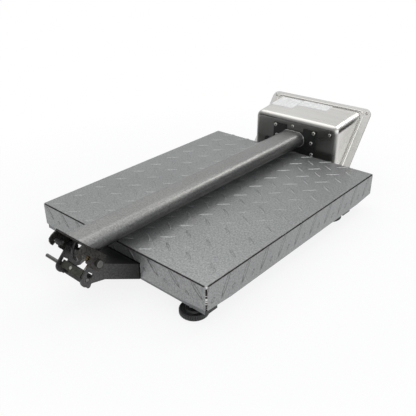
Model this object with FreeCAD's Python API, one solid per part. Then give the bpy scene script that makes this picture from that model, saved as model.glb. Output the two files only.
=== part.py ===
import FreeCAD, Part
import math
import os
from FreeCAD import Placement, Rotation, Vector

# Folding platform scale, in millimetres.
# Working frame: X across, +Y towards the hinge, z = 0 on the platform's top.
# At the end everything moves so that the origin is the bottom centre of the whole scale.

# Clearances
SLIDE_GAP = 0.3
RUNNING_GAP = 0.08
CLOSE_GAP = 0.2
SEAT_GAP = 0.1

# Platform pan
PAN_WIDTH = 400.0
PAN_LENGTH = 500.0
PAN_SHEET = 2.0
PAN_EDGE_RADIUS = 2.5
SKIRT_DEPTH = 46.0
SKIRT_CORNER_RISE = 4.0
SKIRT_SLANT = 55.0

# Upper frame and load cell, stacked downwards from the pan
PAN_PAD = 2.0
PAN_PAD_SIZE = 18.0
PAN_PAD_INSET = 42.0
CROSS_WIDTH = 20.0
CROSS_HEIGHT = 10.0
CROSS_WALL = 1.5
CROSS_END_GAP = 28.0
UPPER_SPINE_WIDTH = 60.0
CELL_SPACER = 2.0
CELL_LENGTH = 130.0
CELL_WIDTH = 30.0
CELL_HEIGHT = 22.0
CELL_WINDOW_RADIUS = 7.0
CELL_WINDOW_SPAN = 18.0
CELL_BOLT_RADIUS = 3.0
CELL_BOLT_PITCH = 25.0
CELL_BOLT_INSET = 15.0
CELL_BOLT_GRIP = 17.0
BOLT_HEAD_RADIUS = 5.0
BOLT_HEAD_HEIGHT = 4.0

# Base frame
SPINE_WIDTH = 50.0
SPINE_HEIGHT = 12.5
TUBE = 25.0
TUBE_WALL = 2.0
TUBE_END_GAP = 5.0
REAR_TUBE_INSET = 15.0
FRONT_TUBE_INSET = 90.0
CAP_PLATE = 2.0
CAP_PLUG = 10.0
STOP_INSET = 80.0
STOP_RADIUS = 4.0
STOP_TRAVEL = 1.0
STOP_NUT_FLAT = 13.0
STOP_NUT = 5.5

# Feet
FOOT_INSET = 38.5
FOOT_HEIGHT = 20.8
FOOT_RADIUS = 23.5
FOOT_BAND = 10.0
FOOT_CHAMFER = 1.5
FOOT_HUB_RADIUS = 14.0
FOOT_HUB_RISE = 1.5
FOOT_STUD_RADIUS = 5.0
FOOT_STUD_LENGTH = 26.0
FOOT_PAD_RADIUS = 20.0
FOOT_PAD = 3.0
FOOT_PAD_SHOWN = 1.0
FOOT_NUT_FLAT = 17.0
FOOT_NUT_HEIGHT = 5.0
FOOT_WELD_NUT_HEIGHT = 9.0

# Hinge
PIVOT_OUT = 60.0
PIVOT_Z = 0.0
PIN_RADIUS = 4.0
PIN_HEAD_RADIUS = 6.0
PIN_HEAD = 5.0
PIN_HEAD_ROUND = 1.0
PIN_NUT_FLAT = 13.0
PIN_NUT = 6.5
BUSH_RADIUS = 6.0
EAR_SHEET = 3.0
EAR_INNER = 29.7
EAR_RADIUS = 12.0
EAR_TAB_RADIUS = 4.0

# Column arm from the rear tube to the hinge
ARM_HALF = 60.0
ARM_SHEET = 3.0
ARM_RISE = 7.0
ARM_FOOT_RISE = 3.5
ARM_BEND_OUT = 2.0
ARM_END_BACK = 11.0
ARM_END_TOP = -8.0
ARM_END_BOTTOM = -37.0
NOTCH_GAP = 2.0

# Latch
ROD_RADIUS = 3.0
ROD_REACH = 30.0
ROD_TRAVEL = 7.0
ROD_OUTSIDE = 74.0
ROD_PROUD = 0.8
ROD_CHAMFER = 0.6
KEY_WIDE_HALF = 6.0
KEY_WIDE_LENGTH = 7.0
KEY_WIDE_BACK = 1.5
BAR_WIDTH = 12.0
BAR_SHEET = 3.0
BAR_LEFT_GAP = 1.7
BAR_RIGHT_GAP = 7.7
BAR_SCREW_X = 4.0
BAR_SCREW_RADIUS = 2.8
BAR_SCREW_HEAD = 1.6
SPRING_WIRE = 1.5
SPRING_TURNS = 4.5
SPRING_LEG = 8.0
SPRING_RIGHT_GAP = 10.7
WEB_SHEET = 3.0
WEB_DROP = 9.5
WEB_BACK = 9.0
WEB_OUT = 4.0

# Column
COLUMN_WIDTH = 56.0
COLUMN_HEIGHT = 32.0
COLUMN_WALL = 2.0
COLUMN_GAP = 6.8
OVAL_FLAT = 0.01
HOOK_SHEET = 3.0
HOOK_POCKET_GAP = 0.5
PLATE_GAP = 1.5
PLATE_LOW_U = -8.0
PLATE_OUT = 13.0
REST_PAD_INSET = 25.0
REST_PAD_LENGTH = 24.0
REST_PAD_WIDTH = 14.0

# Head bracket and the head's dark back
HEAD_OUT = 19.0
HEAD_BRACKET_SHEET = 3.0
BRACKET_X = -2.4
BRACKET_HALF = 53.3
BRACKET_UP = 26.2
BRACKET_DOWN = 44.8
BRACKET_NOTCH_HALF = 21.9
BRACKET_NOTCH_GAP = 1.0
BACK_HALF = 104.0
BACK_UP = 42.8
BACK_DOWN = 58.8
BACK_CORNER = 16.0
BACK_EDGE_RADIUS = 12.0
TUB_WALL = 1.2

# Front panel
PANEL_TILT = 53.9
PANEL_REACH = 104.9
PANEL_RISE = 17.4
PANEL_LENGTH = 165.0
PANEL_WIDTH = 248.8
PANEL_CORNER = 14.0
PANEL_SIDE_RIM = 18.4
PANEL_LOW_RIM = 12.0
PANEL_TOP_RIM = 8.5
FLANGE_SHEET = 1.2
GASKET = 1.2
GASKET_INSET = 1.0
GASKET_SET_BACK = 0.5
PANEL_SHEET = 2.0
PANEL_SCREW_INSET = 9.0
PANEL_SCREW_HEAD_RADIUS = 3.4
PANEL_SCREW_HEAD = 2.0
PANEL_SCREW_BITE = 1.3
WINDOW_WIDTH = 170.0
WINDOW_HEIGHT = 46.0
WINDOW_S = 34.0
WINDOW_CORNER = 3.0
WINDOW_SHEET = 2.0
WINDOW_LIP = 4.0
WINDOW_RECESS = 0.4
KEY_COUNT = 6
KEY_PITCH = 33.0
KEY_WIDTH = 25.0
KEY_HEIGHT = 17.0
KEY_CORNER = 2.5
KEY_S = -36.0
KEY_RISE = 1.8
KEY_TRAVEL = 1.0
KEY_FLANGE = 1.5
KEY_FLANGE_SHEET = 1.2
KEY_POST_RADIUS = 3.0
BOARD_WIDTH = 196.0
BOARD_HEIGHT = 112.0
BOARD_SHEET = 1.6
BOARD_CORNER = 2.0
BOARD_DEPTH = 9.0
BOARD_POST_INSET = 5.0

# Inside and on the back of the head
BATTERY_WIDTH = 70.0
BATTERY_THICK = 20.0
BATTERY_HEIGHT = 38.0
BATTERY_LOW_Z = 4.0
BATTERY_X = -62.0
BATTERY_GAP = 4.5
STRAP_SHEET = 1.5
STRAP_WIDTH = 16.0
STRAP_FOOT = 7.5
CASE_SCREW_RADIUS = 2.0
CASE_SCREW_HEAD = 3.5
CASE_SCREW_UP = 25.4
CASE_SCREW_COLUMNS = (-86.5, 3.9)
CASE_SCREW_BITE = 3.0
SCREW_HEAD_SHARE = 0.6
SCREW_ROUND_SHARE = 0.35
BRACKET_SCREW_HEAD = 4.0
BRACKET_SCREW_BITE = 4.0
BRACKET_SCREW_ROWS = ((48.2, 21.8), (43.8, -1.1), (46.8, -26.3))
ROCKER_X = -74.0
ROCKER_WIDTH = 19.0
ROCKER_HEIGHT = 13.0
ROCKER_WALL = 1.5
ROCKER_DEPTH = 8.0
ROCKER_PIN_RADIUS = 1.0
ROCKER_CROWN = 1.5
ROCKER_MIDDLE_SHARE = 0.67
ROCKER_FOOT_SHARE = 0.6
ROCKER_TOP_SHARE = 0.9
ROCKER_TILT = 10.0
ROCKER_DROP = 42.8
INLET_X = 68.0
INLET_DROP = 18.3
INLET_SIZE = 9.0
INLET_DEPTH = 8.0
INLET_BORE_RADIUS = 2.75
INLET_BORE_DEPTH = 6.0
SOCKET_RIM = 1.5
LABEL_SHEET = 0.4
LABEL_PLACES = (((38.0, 94.0), (46.0, 95.0)), ((-35.0, 36.5), (68.0, 97.0)))

# Lead
LEAD_RADIUS = 2.5
LEAD_X = 10.0
LEAD_SIDE_X = 29.5
LEAD_HOLE_GAP = 1.0
GLAND_U = 18.0
GROMMET_RADIUS = 5.5
GROMMET_WALL = 1.0
GROMMET_RISE = 2.5

# Worked out from the values above
HALF_WIDTH = PAN_WIDTH / 2
HALF_LENGTH = PAN_LENGTH / 2
REAR_TUBE_Y = HALF_LENGTH - REAR_TUBE_INSET
FRONT_TUBE_Y = -HALF_LENGTH + FRONT_TUBE_INSET
TUBE_ROWS = (FRONT_TUBE_Y, REAR_TUBE_Y)
TUBE_HALF_LENGTH = HALF_WIDTH - TUBE_END_GAP
CROSS_HALF_LENGTH = HALF_WIDTH - CROSS_END_GAP
CROSS_TOP = -PAN_SHEET - PAN_PAD
CROSS_BOTTOM = CROSS_TOP - CROSS_HEIGHT
CELL_TOP = CROSS_BOTTOM - CELL_SPACER
CELL_BOTTOM = CELL_TOP - CELL_HEIGHT
SPINE_TOP = CELL_BOTTOM - CELL_SPACER
TUBE_BOTTOM = SPINE_TOP - SPINE_HEIGHT
TUBE_TOP = TUBE_BOTTOM + TUBE
LEAD_TUBE_Z = (TUBE_TOP + TUBE_BOTTOM) / 2
FOOT_X = HALF_WIDTH - FOOT_INSET
STOP_X = HALF_WIDTH - STOP_INSET
FLOOR_Z = TUBE_BOTTOM - FOOT_HEIGHT
PIVOT_Y = HALF_LENGTH + PIVOT_OUT
EAR_OUTER = EAR_INNER + EAR_SHEET
ARM_TOP = TUBE_TOP + ARM_RISE
ARM_BOTTOM = TUBE_BOTTOM + ARM_FOOT_RISE
ARM_START = REAR_TUBE_Y - TUBE / 2
ARM_BEND = HALF_LENGTH + ARM_BEND_OUT
ARM_END = PIVOT_Y - ARM_END_BACK
NOTCH_HALF = ARM_HALF + NOTCH_GAP
NOTCH_TOP = ARM_TOP + NOTCH_GAP
HOOK_INNER = EAR_OUTER + SLIDE_GAP
HOOK_OUTER = HOOK_INNER + HOOK_SHEET
PLATE_INNER_V = -EAR_RADIUS - PLATE_GAP
MITRE_V = PLATE_INNER_V - HOOK_SHEET
PLATE_HIGH_U = ROD_REACH + PLATE_OUT
ROD_RECESS = EAR_OUTER + ROD_PROUD
COLUMN_MIDDLE_Z = COLUMN_GAP + COLUMN_HEIGHT / 2
HEAD_BACK_Y = -HALF_LENGTH - HEAD_OUT
COLUMN_END_Y = HEAD_BACK_Y + HEAD_BRACKET_SHEET
BRACKET_TOP = COLUMN_MIDDLE_Z + BRACKET_UP
BRACKET_BOTTOM = COLUMN_MIDDLE_Z - BRACKET_DOWN
BACK_TOP = COLUMN_MIDDLE_Z + BACK_UP
BACK_BOTTOM = COLUMN_MIDDLE_Z - BACK_DOWN
ROCKER_Z = COLUMN_MIDDLE_Z - ROCKER_DROP
INLET_Z = COLUMN_MIDDLE_Z - INLET_DROP
TILT_COS = math.cos(math.radians(PANEL_TILT))
TILT_SIN = math.sin(math.radians(PANEL_TILT))
PANEL_TOP_Y = HEAD_BACK_Y - PANEL_REACH
PANEL_TOP_Z = BACK_TOP + PANEL_RISE
PANEL_MIDDLE_Y = PANEL_TOP_Y + PANEL_LENGTH / 2 * TILT_COS
PANEL_MIDDLE_Z = PANEL_TOP_Z - PANEL_LENGTH / 2 * TILT_SIN
PANEL_MIDDLE = Vector(0, PANEL_MIDDLE_Y, PANEL_MIDDLE_Z)
PANEL_PLACE = Placement(PANEL_MIDDLE, Rotation(Vector(1, 0, 0), 180 - PANEL_TILT))
BOARD_TOP = GASKET - BOARD_DEPTH
KEY_FLOOR = GASKET - SEAT_GAP - KEY_FLANGE_SHEET
BRACKET_SCREWS = [(BRACKET_X + side * out, COLUMN_MIDDLE_Z + up)
                  for out, up in BRACKET_SCREW_ROWS for side in (-1, 1)]
CASE_SCREWS = [(x, COLUMN_MIDDLE_Z + CASE_SCREW_UP) for x in CASE_SCREW_COLUMNS]
HOLE_EXTRA = 1.0
X_AXIS = Vector(1, 0, 0)
Y_AXIS = Vector(0, 1, 0)
Z_AXIS = Vector(0, 0, 1)


# Box between two corners
def block(x_pair, y_pair, z_pair):
    size = [pair[1] - pair[0] for pair in (x_pair, y_pair, z_pair)]
    return Part.makeBox(*size, Vector(x_pair[0], y_pair[0], z_pair[0]))


def face_of(points):
    return Part.Face(Part.makePolygon(points + points[:1]))


# Side outline given as (y, z) pairs, from one x to the other
def side_prism(outline, x_pair):
    points = [Vector(x_pair[0], y, z) for y, z in outline]
    return face_of(points).extrude(Vector(x_pair[1] - x_pair[0], 0, 0))


# Place in the hinge's own axes, w outwards and down, t outwards and up, both from the pivot
def hinge_yz(w, t):
    root = math.sqrt(2)
    return PIVOT_Y + (w + t) / root, PIVOT_Z + (t - w) / root


def hinge_point(x, w, t):
    return Vector(x, *hinge_yz(w, t))


def hinge_prism(outline, x_pair):
    return side_prism([hinge_yz(w, t) for w, t in outline], x_pair)


def hinge_block(w_pair, t_pair, x_pair):
    corners = [(w_pair[0], t_pair[0]), (w_pair[1], t_pair[0]), (w_pair[1], t_pair[1]), (w_pair[0], t_pair[1])]
    return hinge_prism(corners, x_pair)


def rod_between(start, end, radius):
    return Part.makeCylinder(radius, start.distanceToPoint(end), start, end - start)


def disc(radius, centre, height, axis=Z_AXIS):
    return Part.makeCylinder(radius, height, centre, axis)


def hex_prism(flats, centre, height, axis=Z_AXIS):
    radius = flats / math.sqrt(3)
    points = []
    for step in range(6):
        turn = math.radians(60 * step + 30)
        points.append(Vector(radius * math.cos(turn), radius * math.sin(turn), 0))
    solid = face_of(points).extrude(Vector(0, 0, height))
    solid.Placement = Placement(centre, Rotation(Z_AXIS, axis))
    return solid


def fuse_all(shapes):
    return shapes[0].fuse(shapes[1:]).removeSplitter()


def mirrored(shape):
    return shape.mirror(Vector(0, 0, 0), X_AXIS)


def both_sides(shape):
    return [shape, mirrored(shape)]


# Rounded rectangle about the middle of a plane's own axes
def rounded_wire(width, height, radius, centre=Vector(0, 0, 0)):
    half_w = width / 2
    half_h = height / 2
    corners = [(half_w, half_h), (-half_w, half_h), (-half_w, -half_h), (half_w, -half_h)]
    edges = []
    ends = []
    for index, (x, y) in enumerate(corners):
        centre_x = x - math.copysign(radius, x)
        centre_y = y - math.copysign(radius, y)
        arc = []
        for step in range(3):
            turn = math.radians(90 * index + 45 * step)
            offset = Vector(radius * math.cos(turn), radius * math.sin(turn), 0)
            arc.append(centre + Vector(centre_x, centre_y, 0) + offset)
        edges.append(Part.Arc(*arc).toShape())
        ends.append((arc[0], arc[2]))
    ordered = []
    for index in range(4):
        ordered.append(edges[index])
        ordered.append(Part.makeLine(ends[index][1], ends[(index + 1) % 4][0]))
    return Part.Wire(ordered)


def rounded_plate(width, height, radius, thickness, centre=Vector(0, 0, 0)):
    return Part.Face(rounded_wire(width, height, radius, centre)).extrude(Vector(0, 0, thickness))


# Anything built flat on the front panel: x across, y up the panel, z out of its face
def on_panel(shape):
    placed = shape.copy()
    placed.Placement = PANEL_PLACE.multiply(placed.Placement)
    return placed


# Corner radius of a bent lead: 0.45 of the shorter run over the tangent of half the turn
def bend_radius(before, corner, after):
    incoming = corner - before
    outgoing = after - corner
    turn = incoming.getAngle(outgoing)
    return 0.45 * min(incoming.Length, outgoing.Length) / math.tan(turn / 2)


def bent_path(points):
    edges = []
    start = points[0]
    radii = []
    for before, corner, after in zip(points, points[1:], points[2:]):
        back = before - corner
        onward = after - corner
        setback = 0.45 * min(back.Length, onward.Length)
        radius = bend_radius(before, corner, after)
        back.normalize()
        onward.normalize()
        bisector = back + onward
        bisector.normalize()
        entry = corner + back * setback
        leave = corner + onward * setback
        centre = corner + bisector * math.hypot(radius, setback)
        middle = centre - bisector * radius
        edges.append(Part.LineSegment(start, entry).toShape())
        edges.append(Part.Arc(entry, middle, leave).toShape())
        radii.append(round(radius, 1))
        start = leave
    edges.append(Part.LineSegment(start, points[-1]).toShape())
    return Part.Wire(edges), radii


def bent_rod(points, radius):
    section = Part.Wire(Part.makeCircle(radius, points[0], points[1] - points[0]))
    return bent_path(points)[0].makePipeShell([section], True, False)


def lead_tube(name, points):
    path, radii = bent_path(points)
    tube = bent_rod(points, LEAD_RADIUS)
    share = tube.Volume / (math.pi * LEAD_RADIUS ** 2 * path.Length)
    print(name, "bend radii", radii, "length %.0f, volume share %.4f" % (path.Length, share))
    return tube


# Platform

# The skirt's lower edge rises towards each corner, in each of the two walls that meet there
def skirt_slants():
    low = -SKIRT_DEPTH - HOLE_EXTRA
    wall = PAN_SHEET + HOLE_EXTRA
    cuts = []
    walls = ((HALF_LENGTH, HALF_WIDTH, True), (HALF_WIDTH, HALF_LENGTH, False))
    for half, far_half, lengthwise in walls:
        outline = [(half - SKIRT_SLANT, low), (half - SKIRT_SLANT, -SKIRT_DEPTH),
                   (half + HOLE_EXTRA, -SKIRT_DEPTH + SKIRT_CORNER_RISE), (half + HOLE_EXTRA, low)]
        for sign in (-1, 1):
            for side in (-1, 1):
                start = side * (far_half + HOLE_EXTRA)
                sweep = -side * wall
                if lengthwise:
                    points = [Vector(start, sign * along, z) for along, z in outline]
                    cuts.append(face_of(points).extrude(Vector(sweep, 0, 0)))
                else:
                    points = [Vector(sign * along, start, z) for along, z in outline]
                    cuts.append(face_of(points).extrude(Vector(0, sweep, 0)))
    return cuts


def platform_pan():
    solid = block((-HALF_WIDTH, HALF_WIDTH), (-HALF_LENGTH, HALF_LENGTH), (-SKIRT_DEPTH, 0))
    outer_edges = [edge for edge in solid.Edges if edge.CenterOfMass.z > -SKIRT_DEPTH + HOLE_EXTRA]
    solid = solid.makeFillet(PAN_EDGE_RADIUS, outer_edges)
    inside_x = HALF_WIDTH - PAN_SHEET
    inside_y = HALF_LENGTH - PAN_SHEET
    low = -SKIRT_DEPTH - HOLE_EXTRA
    hollow = block((-inside_x, inside_x), (-inside_y, inside_y), (low, -PAN_SHEET))
    notch_y = (inside_y - HOLE_EXTRA, HALF_LENGTH + HOLE_EXTRA)
    notch = block((-NOTCH_HALF, NOTCH_HALF), notch_y, (low, NOTCH_TOP))
    return solid.cut([hollow, notch] + skirt_slants())


def pan_pads():
    half = PAN_PAD_SIZE / 2
    pads = []
    for y in TUBE_ROWS:
        for x in (-HALF_WIDTH + PAN_PAD_INSET, HALF_WIDTH - PAN_PAD_INSET):
            pads.append(block((x - half, x + half), (y - half, y + half), (CROSS_TOP, -PAN_SHEET)))
    return Part.makeCompound(pads)


# Upper frame that the load cell carries

def box_tube(x_pair, y_pair, z_pair, wall, along_x):
    outer = block(x_pair, y_pair, z_pair)
    open_x = x_pair if along_x else (x_pair[0] + wall, x_pair[1] - wall)
    open_y = (y_pair[0] + wall, y_pair[1] - wall) if along_x else y_pair
    return outer.cut(block(open_x, open_y, (z_pair[0] + wall, z_pair[1] - wall)))


def upper_cross_tubes():
    half = CROSS_WIDTH / 2
    ends = (-CROSS_HALF_LENGTH, CROSS_HALF_LENGTH)
    height = (CROSS_BOTTOM, CROSS_TOP)
    rows = [(y - half, y + half) for y in TUBE_ROWS]
    return Part.makeCompound([box_tube(ends, row, height, CROSS_WALL, True) for row in rows])


def cell_bolt_rows(side):
    first = CELL_LENGTH / 2 - CELL_BOLT_INSET
    return [side * (first - step * CELL_BOLT_PITCH) for step in range(2)]


def upper_spine():
    half = UPPER_SPINE_WIDTH / 2
    run = (FRONT_TUBE_Y + CROSS_WIDTH / 2, REAR_TUBE_Y - CROSS_WIDTH / 2)
    spine = box_tube((-half, half), run, (CROSS_BOTTOM, CROSS_TOP), CROSS_WALL, False)
    for y in cell_bolt_rows(1):
        hole = Vector(0, y, CROSS_BOTTOM - HOLE_EXTRA)
        spine = spine.cut(disc(CELL_BOLT_RADIUS + CLOSE_GAP, hole, CROSS_HEIGHT))
        access = Vector(0, y, CROSS_TOP - CROSS_WALL - HOLE_EXTRA)
        spine = spine.cut(disc(BOLT_HEAD_RADIUS + HOLE_EXTRA, access, CROSS_WALL + 2 * HOLE_EXTRA))
    return spine


def cell_spacer(side, z_pair):
    rows = cell_bolt_rows(side)
    half = CELL_WIDTH / 2
    run = (min(rows) - CELL_BOLT_INSET + HOLE_EXTRA, max(rows) + CELL_BOLT_INSET - HOLE_EXTRA)
    plate = block((-half, half), run, z_pair)
    for y in rows:
        hole = Vector(0, y, z_pair[0] - HOLE_EXTRA)
        plate = plate.cut(disc(CELL_BOLT_RADIUS + CLOSE_GAP, hole, CELL_HEIGHT))
    return plate


def cell_spacers():
    upper = cell_spacer(1, (CELL_TOP, CROSS_BOTTOM))
    lower = cell_spacer(-1, (SPINE_TOP, CELL_BOTTOM))
    return Part.makeCompound([upper, lower])


def load_cell():
    half = CELL_WIDTH / 2
    cell = block((-half, half), (-CELL_LENGTH / 2, CELL_LENGTH / 2), (CELL_BOTTOM, CELL_TOP))
    middle = (CELL_TOP + CELL_BOTTOM) / 2
    side_x = -half - HOLE_EXTRA
    reach = CELL_WIDTH + 2 * HOLE_EXTRA
    for y in (-CELL_WINDOW_SPAN / 2, CELL_WINDOW_SPAN / 2):
        cell = cell.cut(disc(CELL_WINDOW_RADIUS, Vector(side_x, y, middle), reach, X_AXIS))
    thread = CELL_BOLT_RADIUS + SEAT_GAP / 2
    for side in (-1, 1):
        for y in cell_bolt_rows(side):
            hole = Vector(0, y, CELL_BOTTOM - HOLE_EXTRA)
            cell = cell.cut(disc(thread, hole, CELL_HEIGHT + 2 * HOLE_EXTRA))
    return cell


def cell_bolts():
    bolts = []
    for y in cell_bolt_rows(1):
        seat = Vector(0, y, CROSS_BOTTOM + CROSS_WALL)
        head = disc(BOLT_HEAD_RADIUS, seat, BOLT_HEAD_HEIGHT)
        shank = CROSS_WALL + CELL_SPACER + CELL_BOLT_GRIP
        bolts.append(head.fuse(disc(CELL_BOLT_RADIUS, seat, shank, -Z_AXIS)))
    for y in cell_bolt_rows(-1):
        seat = Vector(0, y, TUBE_BOTTOM)
        head = disc(BOLT_HEAD_RADIUS, seat, BOLT_HEAD_HEIGHT, -Z_AXIS)
        shank = SPINE_HEIGHT + CELL_SPACER + CELL_BOLT_GRIP
        bolts.append(head.fuse(disc(CELL_BOLT_RADIUS, seat, shank)))
    return Part.makeCompound(bolts)


# Base frame

def base_tube(y):
    half = TUBE / 2
    ends = (-TUBE_HALF_LENGTH, TUBE_HALF_LENGTH)
    tube = box_tube(ends, (y - half, y + half), (TUBE_BOTTOM, TUBE_TOP), TUBE_WALL, True)
    for x in (-FOOT_X, FOOT_X):
        hole = Vector(x, y, TUBE_BOTTOM - HOLE_EXTRA)
        tube = tube.cut(disc(FOOT_STUD_RADIUS + RUNNING_GAP, hole, TUBE / 2))
    for x in (-STOP_X, STOP_X):
        tube = tube.cut(disc(STOP_RADIUS + SEAT_GAP, Vector(x, y, TUBE_TOP - TUBE / 2), TUBE))
    return tube


def base_rear_tube():
    start = Vector(LEAD_SIDE_X, REAR_TUBE_Y - TUBE / 2 - HOLE_EXTRA, LEAD_TUBE_Z)
    hole = disc(LEAD_RADIUS + LEAD_HOLE_GAP, start, TUBE + 2 * HOLE_EXTRA, Y_AXIS)
    return base_tube(REAR_TUBE_Y).cut(hole)


def base_front_tube():
    return base_tube(FRONT_TUBE_Y)


def base_spine():
    half = SPINE_WIDTH / 2
    run = (FRONT_TUBE_Y + TUBE / 2, REAR_TUBE_Y - TUBE / 2)
    spine = box_tube((-half, half), run, (TUBE_BOTTOM, SPINE_TOP), TUBE_WALL, False)
    for y in cell_bolt_rows(-1):
        hole = Vector(0, y, TUBE_BOTTOM - HOLE_EXTRA)
        spine = spine.cut(disc(CELL_BOLT_RADIUS + CLOSE_GAP, hole, SPINE_HEIGHT + 2 * HOLE_EXTRA))
    return spine


def tube_end_caps():
    caps = []
    half = TUBE / 2
    plug = half - TUBE_WALL - SEAT_GAP
    middle = (TUBE_TOP + TUBE_BOTTOM) / 2
    for y in TUBE_ROWS:
        outside = (TUBE_HALF_LENGTH, TUBE_HALF_LENGTH + CAP_PLATE)
        inside = (TUBE_HALF_LENGTH - CAP_PLUG, TUBE_HALF_LENGTH)
        plate = block(outside, (y - half, y + half), (TUBE_BOTTOM, TUBE_TOP))
        core = block(inside, (y - plug, y + plug), (middle - plug, middle + plug))
        caps += both_sides(plate.fuse(core))
    return Part.makeCompound(caps)


def overload_stops():
    stops = []
    top = CROSS_BOTTOM - STOP_TRAVEL
    for y in TUBE_ROWS:
        for x in (-STOP_X, STOP_X):
            low = Vector(x, y, TUBE_TOP - TUBE_WALL)
            nut = hex_prism(STOP_NUT_FLAT, Vector(x, y, TUBE_TOP), STOP_NUT)
            stops.append(disc(STOP_RADIUS, low, top - low.z).fuse(nut))
    return Part.makeCompound(stops)


# Arm from the rear tube to the hinge, a folded sheet channel open below, with an ear on each side

# Solid between two upright rectangles, given as (y, half width, top, bottom)
def wedge_block(near, far):
    rings = []
    for y, half, top, bottom in (near, far):
        corners = ((-half, top), (half, top), (half, bottom), (-half, bottom))
        rings.append([Vector(x, y, z) for x, z in corners])
    faces = [face_of(ring) for ring in rings]
    for index in range(4):
        after = (index + 1) % 4
        faces.append(face_of([rings[0][index], rings[0][after], rings[1][after], rings[1][index]]))
    solid = Part.Solid(Part.Shell(faces))
    if solid.Volume < 0:
        solid.reverse()
    return solid


def arm_shell():
    deep = ARM_BOTTOM - TUBE
    outer = wedge_block((ARM_BEND, ARM_HALF, ARM_TOP, ARM_BOTTOM),
                        (ARM_END, EAR_OUTER, ARM_END_TOP, ARM_END_BOTTOM))
    inner = wedge_block((ARM_BEND, ARM_HALF - ARM_SHEET, ARM_TOP - ARM_SHEET, deep),
                        (ARM_END, EAR_INNER, ARM_END_TOP - ARM_SHEET, deep))
    wedge = outer.cut(inner)
    inside = ARM_HALF - ARM_SHEET
    straight = block((-ARM_HALF, ARM_HALF), (ARM_START, ARM_BEND), (ARM_BOTTOM, ARM_TOP))
    hollow = block((-inside, inside), (ARM_START, ARM_BEND), (deep, ARM_TOP - ARM_SHEET))
    tube_space = block((-ARM_HALF, ARM_HALF), (ARM_START, REAR_TUBE_Y + TUBE / 2), (deep, TUBE_TOP))
    return straight.cut([hollow, tube_space]).fuse(wedge)


def ear_outline_solid(x_pair):
    start_x = Vector(x_pair[0], PIVOT_Y, PIVOT_Z)
    thick = x_pair[1] - x_pair[0]
    boss = disc(EAR_RADIUS, start_x, thick, X_AXIS)
    end = disc(EAR_RADIUS, hinge_point(x_pair[0], ROD_REACH, 0), thick, X_AXIS)
    strip = hinge_block((0, ROD_REACH), (-EAR_RADIUS, EAR_RADIUS), x_pair)
    tab_w = ROD_REACH + 7.5
    tab_t = -EAR_RADIUS + 3.5
    tab = disc(EAR_TAB_RADIUS, hinge_point(x_pair[0], tab_w, tab_t), thick, X_AXIS)
    tab_low = hinge_yz(tab_w, tab_t - EAR_TAB_RADIUS)
    corner = hinge_yz(ROD_REACH + 2.5, -EAR_RADIUS + 0.7)
    plate = side_prism([(ARM_END, ARM_END_TOP), (PIVOT_Y, ARM_END_TOP), hinge_yz(tab_w, tab_t), tab_low,
                        corner, (ARM_END, ARM_END_BOTTOM)], x_pair)
    return fuse_all([boss, strip, end, tab, plate])


def key_slot(x_pair):
    near = ROD_REACH - ROD_TRAVEL - ROD_RADIUS - KEY_WIDE_BACK
    half = ROD_RADIUS + SLIDE_GAP
    wide = hinge_block((near, near + KEY_WIDE_LENGTH), (-KEY_WIDE_HALF, KEY_WIDE_HALF), x_pair)
    narrow = hinge_block((near, ROD_REACH + half), (-half, half), x_pair)
    return wide.fuse(narrow)


# The ears are joined by a stiffening web below the latch
def column_arm():
    ear = ear_outline_solid((EAR_INNER, EAR_OUTER))
    through = (-EAR_OUTER - HOLE_EXTRA, EAR_OUTER + HOLE_EXTRA)
    back = ROD_REACH - WEB_BACK
    bend = ROD_REACH + WEB_OUT
    low = -WEB_DROP - WEB_SHEET
    web = hinge_prism([(back, low), (back, -WEB_DROP), (bend, -WEB_DROP), (bend + 6.5, -WEB_DROP - 2.5),
                       (bend + 5.5, low - 2.3), (bend - 0.6, low)], (-EAR_INNER, EAR_INNER))
    arm = fuse_all([arm_shell(), ear, mirrored(ear), web])
    arm = arm.cut(key_slot(through))
    start = Vector(through[0], PIVOT_Y, PIVOT_Z)
    pin_hole = disc(PIN_RADIUS + CLOSE_GAP, start, through[1] - through[0], X_AXIS)
    spring_hole = rod_between(spring_leg_end(through[0]), spring_leg_end(-EAR_INNER + HOLE_EXTRA),
                              SPRING_WIRE / 2 + CLOSE_GAP)
    return arm.cut([pin_hole, spring_hole])


# Hinge pin with a round head on one side and a nut on the other

def pivot_pin():
    head_face = -HOOK_OUTER - CLOSE_GAP
    start = Vector(head_face, PIVOT_Y, PIVOT_Z)
    shank = disc(PIN_RADIUS, start, -2 * head_face + PIN_NUT + HOLE_EXTRA, X_AXIS)
    head = disc(PIN_HEAD_RADIUS, start, PIN_HEAD, -X_AXIS)
    rim = [edge for edge in head.Edges if abs(edge.CenterOfMass.x - head_face + PIN_HEAD) < SEAT_GAP]
    return shank.fuse(head.makeFillet(PIN_HEAD_ROUND, rim))


def pivot_nut():
    nut = hex_prism(PIN_NUT_FLAT, Vector(HOOK_OUTER + CLOSE_GAP, PIVOT_Y, PIVOT_Z), PIN_NUT, X_AXIS)
    bore = disc(PIN_RADIUS + SEAT_GAP / 2, Vector(HOOK_OUTER, PIVOT_Y, PIVOT_Z), 2 * PIN_NUT, X_AXIS)
    return nut.cut(bore)


def pivot_bush():
    start = Vector(-EAR_INNER, PIVOT_Y, PIVOT_Z)
    bore = disc(PIN_RADIUS + SEAT_GAP, start, 2 * EAR_INNER, X_AXIS)
    return disc(BUSH_RADIUS, start, 2 * EAR_INNER, X_AXIS).cut(bore)


# Torsion spring round the bush: one leg is held in an ear, the other presses the rod outwards

def spring_leg_end(x):
    return hinge_point(x, SPRING_LEG, spring_radius())


def spring_radius():
    return BUSH_RADIUS + CLOSE_GAP + SPRING_WIRE / 2


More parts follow.
